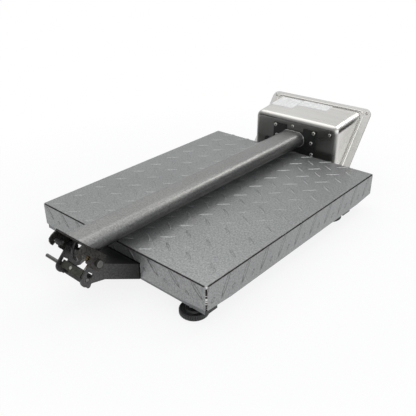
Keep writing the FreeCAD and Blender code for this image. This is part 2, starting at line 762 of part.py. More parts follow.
def latch_spring():
    wire = SPRING_WIRE / 2
    pitch = SPRING_WIRE + SEAT_GAP
    near_x = -EAR_INNER + SPRING_RIGHT_GAP
    far_x = near_x + pitch * SPRING_TURNS
    helix = Part.makeHelix(pitch, pitch * SPRING_TURNS, spring_radius())
    section = Part.Wire(Part.makeCircle(wire, Vector(spring_radius(), 0, 0), Y_AXIS))
    coil = Part.Wire(helix.Edges).makePipeShell([section], True, True)
    # The coil's first end lies above the pivot at t = radius, its last end below at t = -radius
    coil.Placement = Placement(Vector(near_x, PIVOT_Y, PIVOT_Z), Rotation(Z_AXIS, X_AXIS))
    coil.rotate(Vector(near_x, PIVOT_Y, PIVOT_Z), X_AXIS, 135)
    held_leg = [hinge_point(near_x, 0, spring_radius()), spring_leg_end(near_x),
                spring_leg_end(-EAR_OUTER + CLOSE_GAP)]
    tip_w = ROD_REACH - ROD_RADIUS - wire - SEAT_GAP
    rod_leg = [hinge_point(far_x, 0, -spring_radius()), hinge_point(far_x, tip_w, -ROD_RADIUS - wire),
               hinge_point(far_x, tip_w, ROD_RADIUS - wire)]
    return Part.makeCompound([coil, bent_rod(held_leg, wire), bent_rod(rod_leg, wire)])


# Latch: a cross rod in the ears' key slots and the thumb bar that is screwed to it

def latch_rod():
    low = hinge_point(-ROD_RECESS, ROD_REACH, 0)
    rod = rod_between(low, hinge_point(ROD_OUTSIDE, ROD_REACH, 0), ROD_RADIUS)
    ends = [edge for edge in rod.Edges if isinstance(edge.Curve, Part.Circle)]
    return rod.makeChamfer(ROD_CHAMFER, ends)


def latch_bar():
    inner = ROD_REACH - BAR_WIDTH / 2 - ROD_RADIUS
    return hinge_block((inner, inner + BAR_WIDTH), (ROD_RADIUS, ROD_RADIUS + BAR_SHEET),
                       (-EAR_INNER + BAR_RIGHT_GAP, EAR_INNER - BAR_LEFT_GAP))


def latch_screw():
    seat = hinge_point(BAR_SCREW_X, ROD_REACH - ROD_RADIUS, ROD_RADIUS + BAR_SHEET)
    outward = hinge_point(0, 0, 1) - hinge_point(0, 0, 0)
    return disc(BAR_SCREW_RADIUS, seat, BAR_SCREW_HEAD, outward)


# Column: an oval tube mitred at the hinge

def oval_prism(width, height, start, length):
    wire = rounded_wire(width, height, height / 2 - OVAL_FLAT)
    solid = Part.Face(wire).extrude(Vector(0, 0, length))
    solid.Placement = Placement(Vector(0, start, COLUMN_MIDDLE_Z), Rotation(Z_AXIS, Y_AXIS))
    return solid


def mitre_cutter():
    far = 2 * COLUMN_WIDTH
    return hinge_block((MITRE_V, MITRE_V + far), (-far, far), (-far, far))


def column_tube():
    length = PIVOT_Y - COLUMN_END_Y + COLUMN_HEIGHT
    outer = oval_prism(COLUMN_WIDTH, COLUMN_HEIGHT, COLUMN_END_Y, length)
    bore = oval_prism(COLUMN_WIDTH - 2 * COLUMN_WALL, COLUMN_HEIGHT - 2 * COLUMN_WALL,
                      COLUMN_END_Y - HOLE_EXTRA, length + 2 * HOLE_EXTRA)
    return outer.cut(bore).cut(mitre_cutter())


# Ear of the column's hinge bracket: hook, latch pocket, prong and pivot boss, as (u, v) in the folded place
def hook_ear(x_pair):
    reach = ROD_REACH
    pocket = ROD_RADIUS + HOOK_POCKET_GAP
    barb = reach + ROD_RADIUS + 1.0
    prong = reach - ROD_RADIUS - 4.0
    outline = [(PLATE_HIGH_U, PLATE_INNER_V), (reach + 16.3, -4.0), (reach + 16.5, 2.5), (reach + 13.9, 6.2),
               (barb + 4.8, 9.0), (barb + 0.8, 9.0), (barb, 3.9), (barb + 3.6, 1.0),
               (barb + 4.0, -0.5), (barb + 3.0, -pocket), (prong - 4.5, -pocket),
               (prong - 5.0, 0.6 - pocket), (prong - 5.0, pocket),
               (prong, pocket), (prong, 7.0), (prong - 3.0, 8.5), (prong - 10.5, 8.7), (0.0, EAR_RADIUS),
               (-EAR_RADIUS, 0.0), (PLATE_LOW_U, PLATE_INNER_V)]
    plate = hinge_prism([(v, u) for u, v in outline], x_pair)
    start = Vector(x_pair[0], PIVOT_Y, PIVOT_Z)
    boss = disc(EAR_RADIUS, start, x_pair[1] - x_pair[0], X_AXIS)
    bore = disc(PIN_RADIUS + RUNNING_GAP, start, x_pair[1] - x_pair[0], X_AXIS)
    return plate.fuse(boss).cut(bore)


def plate_outward():
    return hinge_point(0, 1, 0) - hinge_point(0, 0, 0)


def hinge_hook():
    plate = hinge_block((MITRE_V, PLATE_INNER_V), (PLATE_LOW_U, PLATE_HIGH_U), (-HOOK_OUTER, HOOK_OUTER))
    ear = hook_ear((HOOK_INNER, HOOK_OUTER))
    bracket = fuse_all([plate, ear, mirrored(ear)])
    start = hinge_point(LEAD_X, MITRE_V - HOLE_EXTRA, GLAND_U)
    depth = HOOK_SHEET + 2 * HOLE_EXTRA
    return bracket.cut(disc(GROMMET_RADIUS - GROMMET_WALL, start, depth, plate_outward()))


def hook_grommet():
    outward = plate_outward()
    length = HOOK_SHEET + GROMMET_RISE
    flange = disc(GROMMET_RADIUS, hinge_point(LEAD_X, PLATE_INNER_V, GLAND_U), GROMMET_RISE, outward)
    sleeve = disc(GROMMET_RADIUS - GROMMET_WALL, hinge_point(LEAD_X, MITRE_V, GLAND_U), HOOK_SHEET, outward)
    return flange.fuse(sleeve).cut(disc(LEAD_RADIUS, hinge_point(LEAD_X, MITRE_V, GLAND_U), length, outward))


def column_rest_pad():
    start = -HALF_LENGTH + REST_PAD_INSET
    half = REST_PAD_WIDTH / 2
    return block((-half, half), (start, start + REST_PAD_LENGTH), (SLIDE_GAP, COLUMN_GAP))


# Black bracket between the column's end and the head

def head_bracket():
    sides = (BRACKET_X - BRACKET_HALF, BRACKET_X + BRACKET_HALF)
    notch_sides = (BRACKET_X - BRACKET_NOTCH_HALF, BRACKET_X + BRACKET_NOTCH_HALF)
    notch_floor = COLUMN_MIDDLE_Z + COLUMN_HEIGHT / 2 + BRACKET_NOTCH_GAP
    depth = (HEAD_BACK_Y, COLUMN_END_Y)
    bracket = block(sides, depth, (BRACKET_BOTTOM, BRACKET_TOP))
    bracket = bracket.cut(block(notch_sides, depth, (notch_floor, BRACKET_TOP + HOLE_EXTRA)))
    for x, z in BRACKET_SCREWS:
        start = Vector(x, HEAD_BACK_Y, z)
        bracket = bracket.cut(disc(CASE_SCREW_RADIUS + CLOSE_GAP, start, HEAD_BRACKET_SHEET, Y_AXIS))
    return bracket.cut(lead_hole(HEAD_BACK_Y, HEAD_BRACKET_SHEET))


def lead_hole(start_y, depth):
    return disc(GROMMET_RADIUS - GROMMET_WALL, Vector(LEAD_X, start_y, COLUMN_MIDDLE_Z), depth, Y_AXIS)


def screws_at(places, seat_y, head_radius, length):
    screws = []
    for x, z in places:
        seat = Vector(x, seat_y, z)
        height = SCREW_HEAD_SHARE * head_radius
        head = disc(head_radius, seat, height, Y_AXIS)
        rim = [edge for edge in head.Edges if abs(edge.CenterOfMass.y - seat_y - height) < SEAT_GAP]
        head = head.makeFillet(SCREW_ROUND_SHARE * head_radius, rim)
        screws.append(head.fuse(disc(CASE_SCREW_RADIUS, seat, length, -Y_AXIS)))
    return Part.makeCompound(screws)


def bracket_screws():
    return screws_at(BRACKET_SCREWS, COLUMN_END_Y, BRACKET_SCREW_HEAD,
                     HEAD_BRACKET_SHEET + TUB_WALL + BRACKET_SCREW_BITE)


def case_screws():
    return screws_at(CASE_SCREWS, HEAD_BACK_Y, CASE_SCREW_HEAD, TUB_WALL + CASE_SCREW_BITE)


# Head: a stainless tub that widens towards its tilted front flange

def mouth_wire(margin, radius, out):
    width = PANEL_WIDTH - 2 * (PANEL_SIDE_RIM + margin)
    height = PANEL_LENGTH - PANEL_LOW_RIM - PANEL_TOP_RIM - 2 * margin
    return rounded_wire(width, height, radius, Vector(0, (PANEL_LOW_RIM - PANEL_TOP_RIM) / 2, out))


def tub_solid(wall, lip):
    back = rounded_wire(2 * (BACK_HALF - wall), BACK_TOP - BACK_BOTTOM - 2 * wall, BACK_CORNER - wall)
    back_y = HEAD_BACK_Y - wall
    back.Placement = Placement(Vector(0, back_y, (BACK_TOP + BACK_BOTTOM) / 2), Rotation(X_AXIS, 90))
    mouth = mouth_wire(wall, BACK_CORNER - wall, lip)
    mouth.Placement = PANEL_PLACE
    solid = Part.makeLoft([back, mouth], True, True)
    back_edges = [edge for edge in solid.Edges if abs(edge.CenterOfMass.y - back_y) < SEAT_GAP]
    return solid.makeFillet(BACK_EDGE_RADIUS - wall, back_edges)


def head_tub():
    outer = tub_solid(0.0, 0.0)
    inner = tub_solid(TUB_WALL, HOLE_EXTRA)
    flange = on_panel(rounded_plate(PANEL_WIDTH, PANEL_LENGTH, PANEL_CORNER, FLANGE_SHEET,
                                    Vector(0, 0, -FLANGE_SHEET)))
    tub = outer.fuse(flange).cut(inner)
    radius = CASE_SCREW_RADIUS + CLOSE_GAP
    for x, s in panel_screw_places():
        tub = tub.cut(on_panel(disc(radius, Vector(x, s, -FLANGE_SHEET), FLANGE_SHEET)))
    start_y = HEAD_BACK_Y - TUB_WALL - HOLE_EXTRA
    depth = TUB_WALL + 2 * HOLE_EXTRA
    for x, z in BRACKET_SCREWS + CASE_SCREWS:
        tub = tub.cut(disc(radius, Vector(x, start_y, z), depth, Y_AXIS))
    for x, z, width, height in ((ROCKER_X, ROCKER_Z, ROCKER_WIDTH, ROCKER_HEIGHT),
                                (INLET_X, INLET_Z, INLET_SIZE, INLET_SIZE)):
        window = (x - width / 2, x + width / 2)
        tub = tub.cut(block(window, (start_y, start_y + depth), (z - height / 2, z + height / 2)))
    return tub.cut(lead_hole(start_y, depth))


def panel_screw_places():
    across = PANEL_WIDTH / 2 - PANEL_SCREW_INSET
    up = PANEL_LENGTH / 2 - PANEL_SCREW_INSET
    return [(x, s) for x in (-across, across) for s in (-up, up)]


def head_grommet():
    inside = Vector(LEAD_X, HEAD_BACK_Y - TUB_WALL, COLUMN_MIDDLE_Z)
    depth = TUB_WALL + HEAD_BRACKET_SHEET
    sleeve = disc(GROMMET_RADIUS - GROMMET_WALL, inside, depth, Y_AXIS)
    flange = disc(GROMMET_RADIUS + GROMMET_WALL, inside, GROMMET_RISE, -Y_AXIS)
    bore = disc(LEAD_RADIUS, inside - Y_AXIS * GROMMET_RISE, depth + GROMMET_RISE, Y_AXIS)
    return sleeve.fuse(flange).cut(bore)


def panel_gasket():
    outer = rounded_plate(PANEL_WIDTH - 2 * GASKET_INSET, PANEL_LENGTH - 2 * GASKET_INSET,
                          PANEL_CORNER - GASKET_INSET, GASKET)
    opening = Part.Face(mouth_wire(-GASKET_SET_BACK, BACK_CORNER, -HOLE_EXTRA))
    ring = outer.cut(opening.extrude(Vector(0, 0, GASKET + 2 * HOLE_EXTRA)))
    for x, s in panel_screw_places():
        hole = Vector(x, s, -HOLE_EXTRA)
        ring = ring.cut(disc(CASE_SCREW_RADIUS + CLOSE_GAP, hole, GASKET + 2 * HOLE_EXTRA))
    return on_panel(ring)


def key_places():
    first = -(KEY_COUNT - 1) / 2 * KEY_PITCH
    return [first + step * KEY_PITCH for step in range(KEY_COUNT)]


def front_panel():
    panel = rounded_plate(PANEL_WIDTH, PANEL_LENGTH, PANEL_CORNER, PANEL_SHEET, Vector(0, 0, GASKET))
    top_edges = [edge for edge in panel.Edges if abs(edge.CenterOfMass.z - GASKET - PANEL_SHEET) < SEAT_GAP]
    panel = panel.makeFillet(PANEL_SHEET / 2, top_edges)
    depth = PANEL_SHEET + 2 * HOLE_EXTRA
    low = GASKET - HOLE_EXTRA
    window_place = Vector(0, WINDOW_S, low)
    panel = panel.cut(rounded_plate(WINDOW_WIDTH, WINDOW_HEIGHT, WINDOW_CORNER, depth, window_place))
    hole_width = KEY_WIDTH + 2 * SLIDE_GAP
    hole_height = KEY_HEIGHT + 2 * SLIDE_GAP
    for x in key_places():
        place = Vector(x, KEY_S, low)
        panel = panel.cut(rounded_plate(hole_width, hole_height, KEY_CORNER + SLIDE_GAP, depth, place))
    for x, s in panel_screw_places():
        place = Vector(x, s, low)
        panel = panel.cut(disc(CASE_SCREW_RADIUS + SEAT_GAP / 2, place, HOLE_EXTRA + PANEL_SCREW_BITE))
    return on_panel(panel)


def panel_screws():
    screws = []
    for x, s in panel_screw_places():
        head = disc(PANEL_SCREW_HEAD_RADIUS, Vector(x, s, -FLANGE_SHEET), PANEL_SCREW_HEAD, -Z_AXIS)
        shank = disc(CASE_SCREW_RADIUS, Vector(x, s, -FLANGE_SHEET), FLANGE_SHEET + GASKET + PANEL_SCREW_BITE)
        screws.append(on_panel(head.fuse(shank)))
    return Part.makeCompound(screws)


def display_window():
    face = rounded_plate(WINDOW_WIDTH - 2 * SEAT_GAP, WINDOW_HEIGHT - 2 * SEAT_GAP, WINDOW_CORNER,
                         PANEL_SHEET - WINDOW_RECESS, Vector(0, WINDOW_S, GASKET))
    flange = rounded_plate(WINDOW_WIDTH + 2 * WINDOW_LIP, WINDOW_HEIGHT + 2 * WINDOW_LIP, WINDOW_CORNER,
                           WINDOW_SHEET, Vector(0, WINDOW_S, GASKET - WINDOW_SHEET))
    return on_panel(face.fuse(flange))


def display_module():
    return on_panel(rounded_plate(WINDOW_WIDTH - WINDOW_LIP, WINDOW_HEIGHT - WINDOW_LIP, 1.0,
                                  BOARD_DEPTH - WINDOW_SHEET, Vector(0, WINDOW_S, BOARD_TOP)))


# Circuit board on posts behind the panel, with one switch post behind each key
def front_board():
    low = Vector(0, 0, BOARD_TOP - BOARD_SHEET)
    pieces = [rounded_plate(BOARD_WIDTH, BOARD_HEIGHT, BOARD_CORNER, BOARD_SHEET, low)]
    across = BOARD_WIDTH / 2 - BOARD_POST_INSET
    for x in (-across, across):
        for s in (-BOARD_HEIGHT / 2 + BOARD_POST_INSET, -BOARD_POST_INSET):
            pieces.append(disc(KEY_POST_RADIUS, Vector(x, s, BOARD_TOP), BOARD_DEPTH))
    post = KEY_FLOOR - KEY_TRAVEL - SEAT_GAP - BOARD_TOP
    for x in key_places():
        pieces.append(disc(KEY_POST_RADIUS, Vector(x, KEY_S, BOARD_TOP), post))
    return on_panel(fuse_all(pieces))


def key_cap(x):
    place = Vector(x, KEY_S, KEY_FLOOR)
    top = GASKET + PANEL_SHEET + KEY_RISE
    cap = rounded_plate(KEY_WIDTH, KEY_HEIGHT, KEY_CORNER, top - KEY_FLOOR, place)
    rim = [edge for edge in cap.Edges if edge.CenterOfMass.z > top - SEAT_GAP]
    cap = cap.makeFillet(KEY_RISE / 3, rim)
    flange_width = KEY_WIDTH + 2 * KEY_FLANGE
    flange_height = KEY_HEIGHT + 2 * KEY_FLANGE
    flange = rounded_plate(flange_width, flange_height, KEY_CORNER, KEY_FLANGE_SHEET, place)
    return on_panel(cap.fuse(flange))


# Battery against the tub's back, held by a strap

def battery():
    back = HEAD_BACK_Y - TUB_WALL - BATTERY_GAP
    sides = (BATTERY_X - BATTERY_WIDTH / 2, BATTERY_X + BATTERY_WIDTH / 2)
    return block(sides, (back - BATTERY_THICK, back), (BATTERY_LOW_Z, BATTERY_LOW_Z + BATTERY_HEIGHT))


def battery_strap():
    back = HEAD_BACK_Y - TUB_WALL
    front = back - BATTERY_GAP - BATTERY_THICK
    low = BATTERY_LOW_Z
    high = BATTERY_LOW_Z + BATTERY_HEIGHT
    sheet = STRAP_SHEET
    outline = [(back, low - sheet - STRAP_FOOT), (back, low), (front, low), (front, high), (back, high),
               (back, high + sheet + STRAP_FOOT), (back - sheet, high + sheet + STRAP_FOOT),
               (back - sheet, high + sheet), (front - sheet, high + sheet), (front - sheet, low - sheet),
               (back - sheet, low - sheet), (back - sheet, low - sheet - STRAP_FOOT)]
    return side_prism(outline, (BATTERY_X - STRAP_WIDTH / 2, BATTERY_X + STRAP_WIDTH / 2))


# Switch and charging inlet in the head's back, which faces down when the column stands up

def socket_block(centre_x, centre_z, width, height, depth):
    return block((centre_x - width / 2, centre_x + width / 2), (HEAD_BACK_Y - depth, HEAD_BACK_Y),
                 (centre_z - height / 2, centre_z + height / 2))


def power_rocker_housing():
    width = ROCKER_WIDTH - 2 * SEAT_GAP
    height = ROCKER_HEIGHT - 2 * SEAT_GAP
    body = socket_block(ROCKER_X, ROCKER_Z, width, height, ROCKER_DEPTH)
    rim_width = ROCKER_WIDTH + 2 * SOCKET_RIM
    rim_height = ROCKER_HEIGHT + 2 * SOCKET_RIM
    rim = socket_block(ROCKER_X, ROCKER_Z, rim_width, rim_height, SOCKET_RIM)
    rim.translate(Vector(0, SOCKET_RIM, 0))
    pocket = socket_block(ROCKER_X, ROCKER_Z, width - 2 * ROCKER_WALL, height - 2 * ROCKER_WALL,
                          ROCKER_DEPTH - ROCKER_WALL)
    mouth = pocket.copy()
    mouth.translate(Vector(0, ROCKER_DEPTH / 2, 0))
    pin_start = Vector(ROCKER_X - width / 2 + HOLE_EXTRA / 2, HEAD_BACK_Y, ROCKER_Z)
    pin = disc(ROCKER_PIN_RADIUS + RUNNING_GAP, pin_start, width - HOLE_EXTRA, X_AXIS)
    return fuse_all([body, rim]).cut([pocket, mouth, pin])


def power_rocker():
    half_x = ROCKER_WIDTH / 2 - ROCKER_WALL - SEAT_GAP - SLIDE_GAP
    half_z = ROCKER_HEIGHT / 2 - ROCKER_WALL - 2 * SLIDE_GAP - SEAT_GAP
    crown = ROCKER_CROWN
    middle = ROCKER_MIDDLE_SHARE * crown
    outline = [(HEAD_BACK_Y + y, ROCKER_Z + side * half_z) for y, side in
               ((-half_z / 2, -ROCKER_FOOT_SHARE), (crown, -ROCKER_TOP_SHARE), (middle, 0.0),
                (crown, ROCKER_TOP_SHARE), (-half_z / 2, ROCKER_FOOT_SHARE))]
    cap = side_prism(outline, (ROCKER_X - half_x, ROCKER_X + half_x))
    pin_half = half_x + SLIDE_GAP + ROCKER_WALL / 2
    pin = disc(ROCKER_PIN_RADIUS, Vector(ROCKER_X - pin_half, HEAD_BACK_Y, ROCKER_Z), 2 * pin_half, X_AXIS)
    rocker = cap.fuse(pin)
    rocker.rotate(Vector(ROCKER_X, HEAD_BACK_Y, ROCKER_Z), X_AXIS, -ROCKER_TILT)
    return rocker


def charge_inlet():
    size = INLET_SIZE - 2 * SEAT_GAP
    rim_radius = INLET_SIZE / math.sqrt(2) + SOCKET_RIM / 2
    rim = disc(rim_radius, Vector(INLET_X, HEAD_BACK_Y, INLET_Z), SOCKET_RIM, Y_AXIS)
    body = socket_block(INLET_X, INLET_Z, size, size, INLET_DEPTH)
    bore = disc(INLET_BORE_RADIUS, Vector(INLET_X, HEAD_BACK_Y - INLET_BORE_DEPTH, INLET_Z),
                INLET_BORE_DEPTH + 2 * SOCKET_RIM, Y_AXIS)
    return rim.fuse(body).cut(bore)


# Feet

def foot_disc(x, y):
    low = FLOOR_Z + FOOT_PAD_SHOWN
    hub = low + FOOT_BAND + FOOT_HUB_RISE
    profile = [(0, low), (FOOT_RADIUS - FOOT_CHAMFER, low), (FOOT_RADIUS, low + FOOT_CHAMFER),
               (FOOT_RADIUS, low + FOOT_BAND - FOOT_CHAMFER), (FOOT_RADIUS - FOOT_CHAMFER, low + FOOT_BAND),
               (FOOT_HUB_RADIUS, low + FOOT_BAND), (FOOT_HUB_RADIUS - FOOT_HUB_RISE, hub),
               (FOOT_STUD_RADIUS, hub), (FOOT_STUD_RADIUS, low + FOOT_STUD_LENGTH),
               (0, low + FOOT_STUD_LENGTH)]
    solid = face_of([Vector(radius, 0, z) for radius, z in profile]).revolve(Vector(0, 0, 0), Z_AXIS, 360)
    recess = disc(FOOT_PAD_RADIUS, Vector(0, 0, FLOOR_Z), FOOT_PAD)
    solid = solid.cut(recess)
    solid.translate(Vector(x, y, 0))
    return solid


def foot_pad(x, y):
    return disc(FOOT_PAD_RADIUS - SEAT_GAP, Vector(x, y, FLOOR_Z), FOOT_PAD)


def foot_nuts(height, low):
    nuts = []
    for y in TUBE_ROWS:
        for x in (-FOOT_X, FOOT_X):
            nut = hex_prism(FOOT_NUT_FLAT, Vector(x, y, low), height)
            nuts.append(nut.cut(disc(FOOT_STUD_RADIUS + RUNNING_GAP, Vector(x, y, low), height)))
    return Part.makeCompound(nuts)


# Lead from the load cell through the rear tube, round the hinge and along the column to the head

def lead_route_base():
    start_y = -CELL_LENGTH / 2 + 20.0
    level = (CELL_TOP + CELL_BOTTOM) / 2
    side = CELL_WIDTH / 2
    low = LEAD_TUBE_Z
    x = LEAD_SIDE_X
    past_tube = REAR_TUBE_Y + TUBE / 2
    return [Vector(side, start_y, level), Vector(side + 11.0, start_y, level),
            Vector(x + 2.0, start_y + 14.0, level - 4.0), Vector(x + 3.0, start_y + 35.0, level - 8.0),
            Vector(x + 2.5, start_y + 70.0, low + 0.5), Vector(x + 1.0, start_y + 125.0, low - 0.5),
            Vector(x + 0.5, start_y + 185.0, low - 0.3), Vector(x, past_tube - 49.5, low),
            Vector(x, past_tube + 3.5, low), Vector(x - 3.5, past_tube + 17.0, low + 7.5),
            lead_point(6), lead_point(5)]


# Hand-picked points of the lead at the hinge: the last three lie in the arm
def lead_point(index):
    outward = PLATE_INNER_V + GROMMET_RISE
    places = [(LEAD_X, outward, GLAND_U), (LEAD_X, outward + 5.5, GLAND_U), (LEAD_X, 4.5, 14.5),
              (LEAD_X + 1.0, 11.4, 5.0), (LEAD_X + 2.0, 12.5, -5.5), (LEAD_X + 5.6, 1.5, -24.9),
              (LEAD_X + 8.6, -5.44, -39.3)]
    return hinge_point(*places[index])


def lead_bend():
    end = lead_point(5)
    along = lead_point(6) - end
    along.normalize()
    return end - along * 10.5


def lead_route_loop():
    return [lead_point(index) for index in range(5)] + [lead_bend(), lead_point(5)]


def lead_route_column():
    middle = COLUMN_MIDDLE_Z
    outward = PLATE_INNER_V + GROMMET_RISE
    points = [lead_point(0), hinge_point(LEAD_X, outward - 15.0, GLAND_U),
              Vector(LEAD_X, PIVOT_Y - 32.0, middle - 5.5)]
    run = 62.0
    count = 7
    first = PIVOT_Y - 32.0 - run
    for step in range(count):
        sag = 4.5 * (1 - ((step - (count - 1) / 2) / count * 2) ** 2)
        points.append(Vector(LEAD_X, first - step * run, middle - 5.0 - sag))
    points += [Vector(LEAD_X, COLUMN_END_Y + 34.0, middle), Vector(LEAD_X, HEAD_BACK_Y - 13.0, middle),
               Vector(LEAD_X - 5.0, HEAD_BACK_Y - 28.0, middle - 1.0),
               Vector(LEAD_X - 7.0, HEAD_BACK_Y - 44.0, middle - 4.0)]
    return points


# Blank plates on the head's upper face, laid along its slope

def blank_labels():
    labels = []
    joint_y = PANEL_TOP_Y + PANEL_TOP_RIM * TILT_COS
    joint_z = PANEL_TOP_Z - PANEL_TOP_RIM * TILT_SIN
    rise = math.degrees(math.atan2(joint_z - BACK_TOP, HEAD_BACK_Y - joint_y))
    for x_pair, along in LABEL_PLACES:
        plate = block(x_pair, (-along[1], -along[0]), (0.0, LABEL_SHEET))
        plate.Placement = Placement(Vector(0, HEAD_BACK_Y, BACK_TOP), Rotation(X_AXIS, -rise))
        labels.append(plate)
    return Part.makeCompound(labels)


def build():
    parts = {
        "platform_pan": platform_pan(),
        "pan_pads": pan_pads(),
        "upper_cross_tubes": upper_cross_tubes(),
        "upper_spine": upper_spine(),
        "load_cell": load_cell(),
        "cell_spacers": cell_spacers(),
        "cell_bolts": cell_bolts(),
        "overload_stops": overload_stops(),
        "base_front_tube": base_front_tube(),
        "base_rear_tube": base_rear_tube(),
        "base_spine": base_spine(),
        "tube_end_caps": tube_end_caps(),
        "column_arm": column_arm(),
        "pivot_pin": pivot_pin(),
        "pivot_nut": pivot_nut(),
        "pivot_bush": pivot_bush(),
        "latch_spring": latch_spring(),
        "latch_rod": latch_rod(),
        "latch_bar": latch_bar(),
        "latch_screw": latch_screw(),
        "column_tube": column_tube(),
        "hinge_hook": hinge_hook(),
        "hook_grommet": hook_grommet(),
        "column_rest_pad": column_rest_pad(),
        "head_bracket": head_bracket(),
        "bracket_screws": bracket_screws(),
        "case_screws": case_screws(),
        "head_tub": head_tub(),
        "head_grommet": head_grommet(),
        "panel_gasket": panel_gasket(),
        "front_panel": front_panel(),
        "panel_screws": panel_screws(),
        "display_window": display_window(),
        "display_module": display_module(),
        "front_board": front_board(),
        "battery": battery(),
        "battery_strap": battery_strap(),
        "power_rocker": power_rocker(),
        "power_rocker_housing": power_rocker_housing(),
        "charge_inlet": charge_inlet(),
        "blank_labels": blank_labels(),
        "foot_lock_nuts": foot_nuts(FOOT_NUT_HEIGHT, TUBE_BOTTOM - FOOT_NUT_HEIGHT),
        "foot_weld_nuts": foot_nuts(FOOT_WELD_NUT_HEIGHT, TUBE_BOTTOM + TUBE_WALL),
        "lead_base": lead_tube("lead_base", lead_route_base()),
        "lead_loop": lead_tube("lead_loop", lead_route_loop()),
        "lead_column": lead_tube("lead_column", lead_route_column()),
    }
    for index, x in enumerate(key_places()):
        parts["key_%d" % (index + 1)] = key_cap(x)
    for row, y in (("front", FRONT_TUBE_Y), ("rear", REAR_TUBE_Y)):
        for side, x in (("right", -FOOT_X), ("left", FOOT_X)):
            parts["foot_disc_%s_%s" % (row, side)] = foot_disc(x, y)
            parts["foot_pad_%s_%s" % (row, side)] = foot_pad(x, y)
    return parts


def write_parts(parts):
    bounds = FreeCAD.BoundBox()
    for shape in parts.values():
        bounds.add(shape.optimalBoundingBox(False, False))
    shift = Vector(-(bounds.XMin + bounds.XMax) / 2, -(bounds.YMin + bounds.YMax) / 2, -bounds.ZMin)
    print("shift", [round(value, 4) for value in shift])
    print("size", [round(value, 3) for value in (bounds.XLength, bounds.YLength, bounds.ZLength)])
    os.makedirs("parts", exist_ok=True)
    for name, shape in parts.items():
        shape.translate(shift)
        shape.exportStep("parts/%s.step" % name)


write_parts(build())
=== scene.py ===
import bpy
import bmesh
import math
from mathutils import Matrix, Vector


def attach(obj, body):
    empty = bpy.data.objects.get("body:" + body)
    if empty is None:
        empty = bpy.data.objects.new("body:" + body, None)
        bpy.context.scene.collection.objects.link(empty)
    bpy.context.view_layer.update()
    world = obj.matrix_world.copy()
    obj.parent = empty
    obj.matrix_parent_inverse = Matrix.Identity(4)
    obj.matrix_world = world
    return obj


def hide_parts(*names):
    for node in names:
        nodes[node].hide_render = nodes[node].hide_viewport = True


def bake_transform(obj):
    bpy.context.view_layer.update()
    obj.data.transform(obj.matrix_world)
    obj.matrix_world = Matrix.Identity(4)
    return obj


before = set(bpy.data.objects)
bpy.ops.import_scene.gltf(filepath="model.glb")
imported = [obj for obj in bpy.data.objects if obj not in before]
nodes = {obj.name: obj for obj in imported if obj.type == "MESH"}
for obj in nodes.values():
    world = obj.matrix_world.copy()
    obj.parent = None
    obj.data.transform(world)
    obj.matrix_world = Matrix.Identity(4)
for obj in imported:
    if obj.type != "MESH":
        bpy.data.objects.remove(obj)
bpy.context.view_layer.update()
scene = bpy.context.scene

# Places are in millimetres from the middle of the platform's top, as the scale was measured, and ORIGIN is
# that point in the shared frame. Sizes inside the materials are in metres.
ORIGIN = Vector((0.0, 15.3312, 73.3))


def place(x, y, z):
    return (Vector((x, y, z)) + ORIGIN) / 1000


# Camera, solved from the photograph's edges

CAMERA_RIGHT = Vector((-0.72782, -0.68518, -0.02824))
CAMERA_UP = Vector((0.31163, -0.36714, 0.87641))
CAMERA_PLACE = (-610.97, 713.14, 454.23)
FOCAL_LENGTH = 47.163
SENSOR_WIDTH = 36.0
LENS_SHIFT = (0.0575, 0.0199)
CLIP_RANGE = (0.01, 50.0)


def make_camera():
    data = bpy.data.cameras.new("camera")
    data.lens = FOCAL_LENGTH
    data.sensor_width = SENSOR_WIDTH
    data.shift_x, data.shift_y = LENS_SHIFT
    data.clip_start, data.clip_end = CLIP_RANGE
    camera = bpy.data.objects.new("camera", data)
    back = CAMERA_RIGHT.cross(CAMERA_UP)
    turn = Matrix((CAMERA_RIGHT, CAMERA_UP, back)).transposed().to_4x4()
    camera.matrix_world = Matrix.Translation(place(*CAMERA_PLACE)) @ turn
    scene.collection.objects.link(camera)
    scene.camera = camera


# A material with a Principled shader, and short ways to add nodes to it

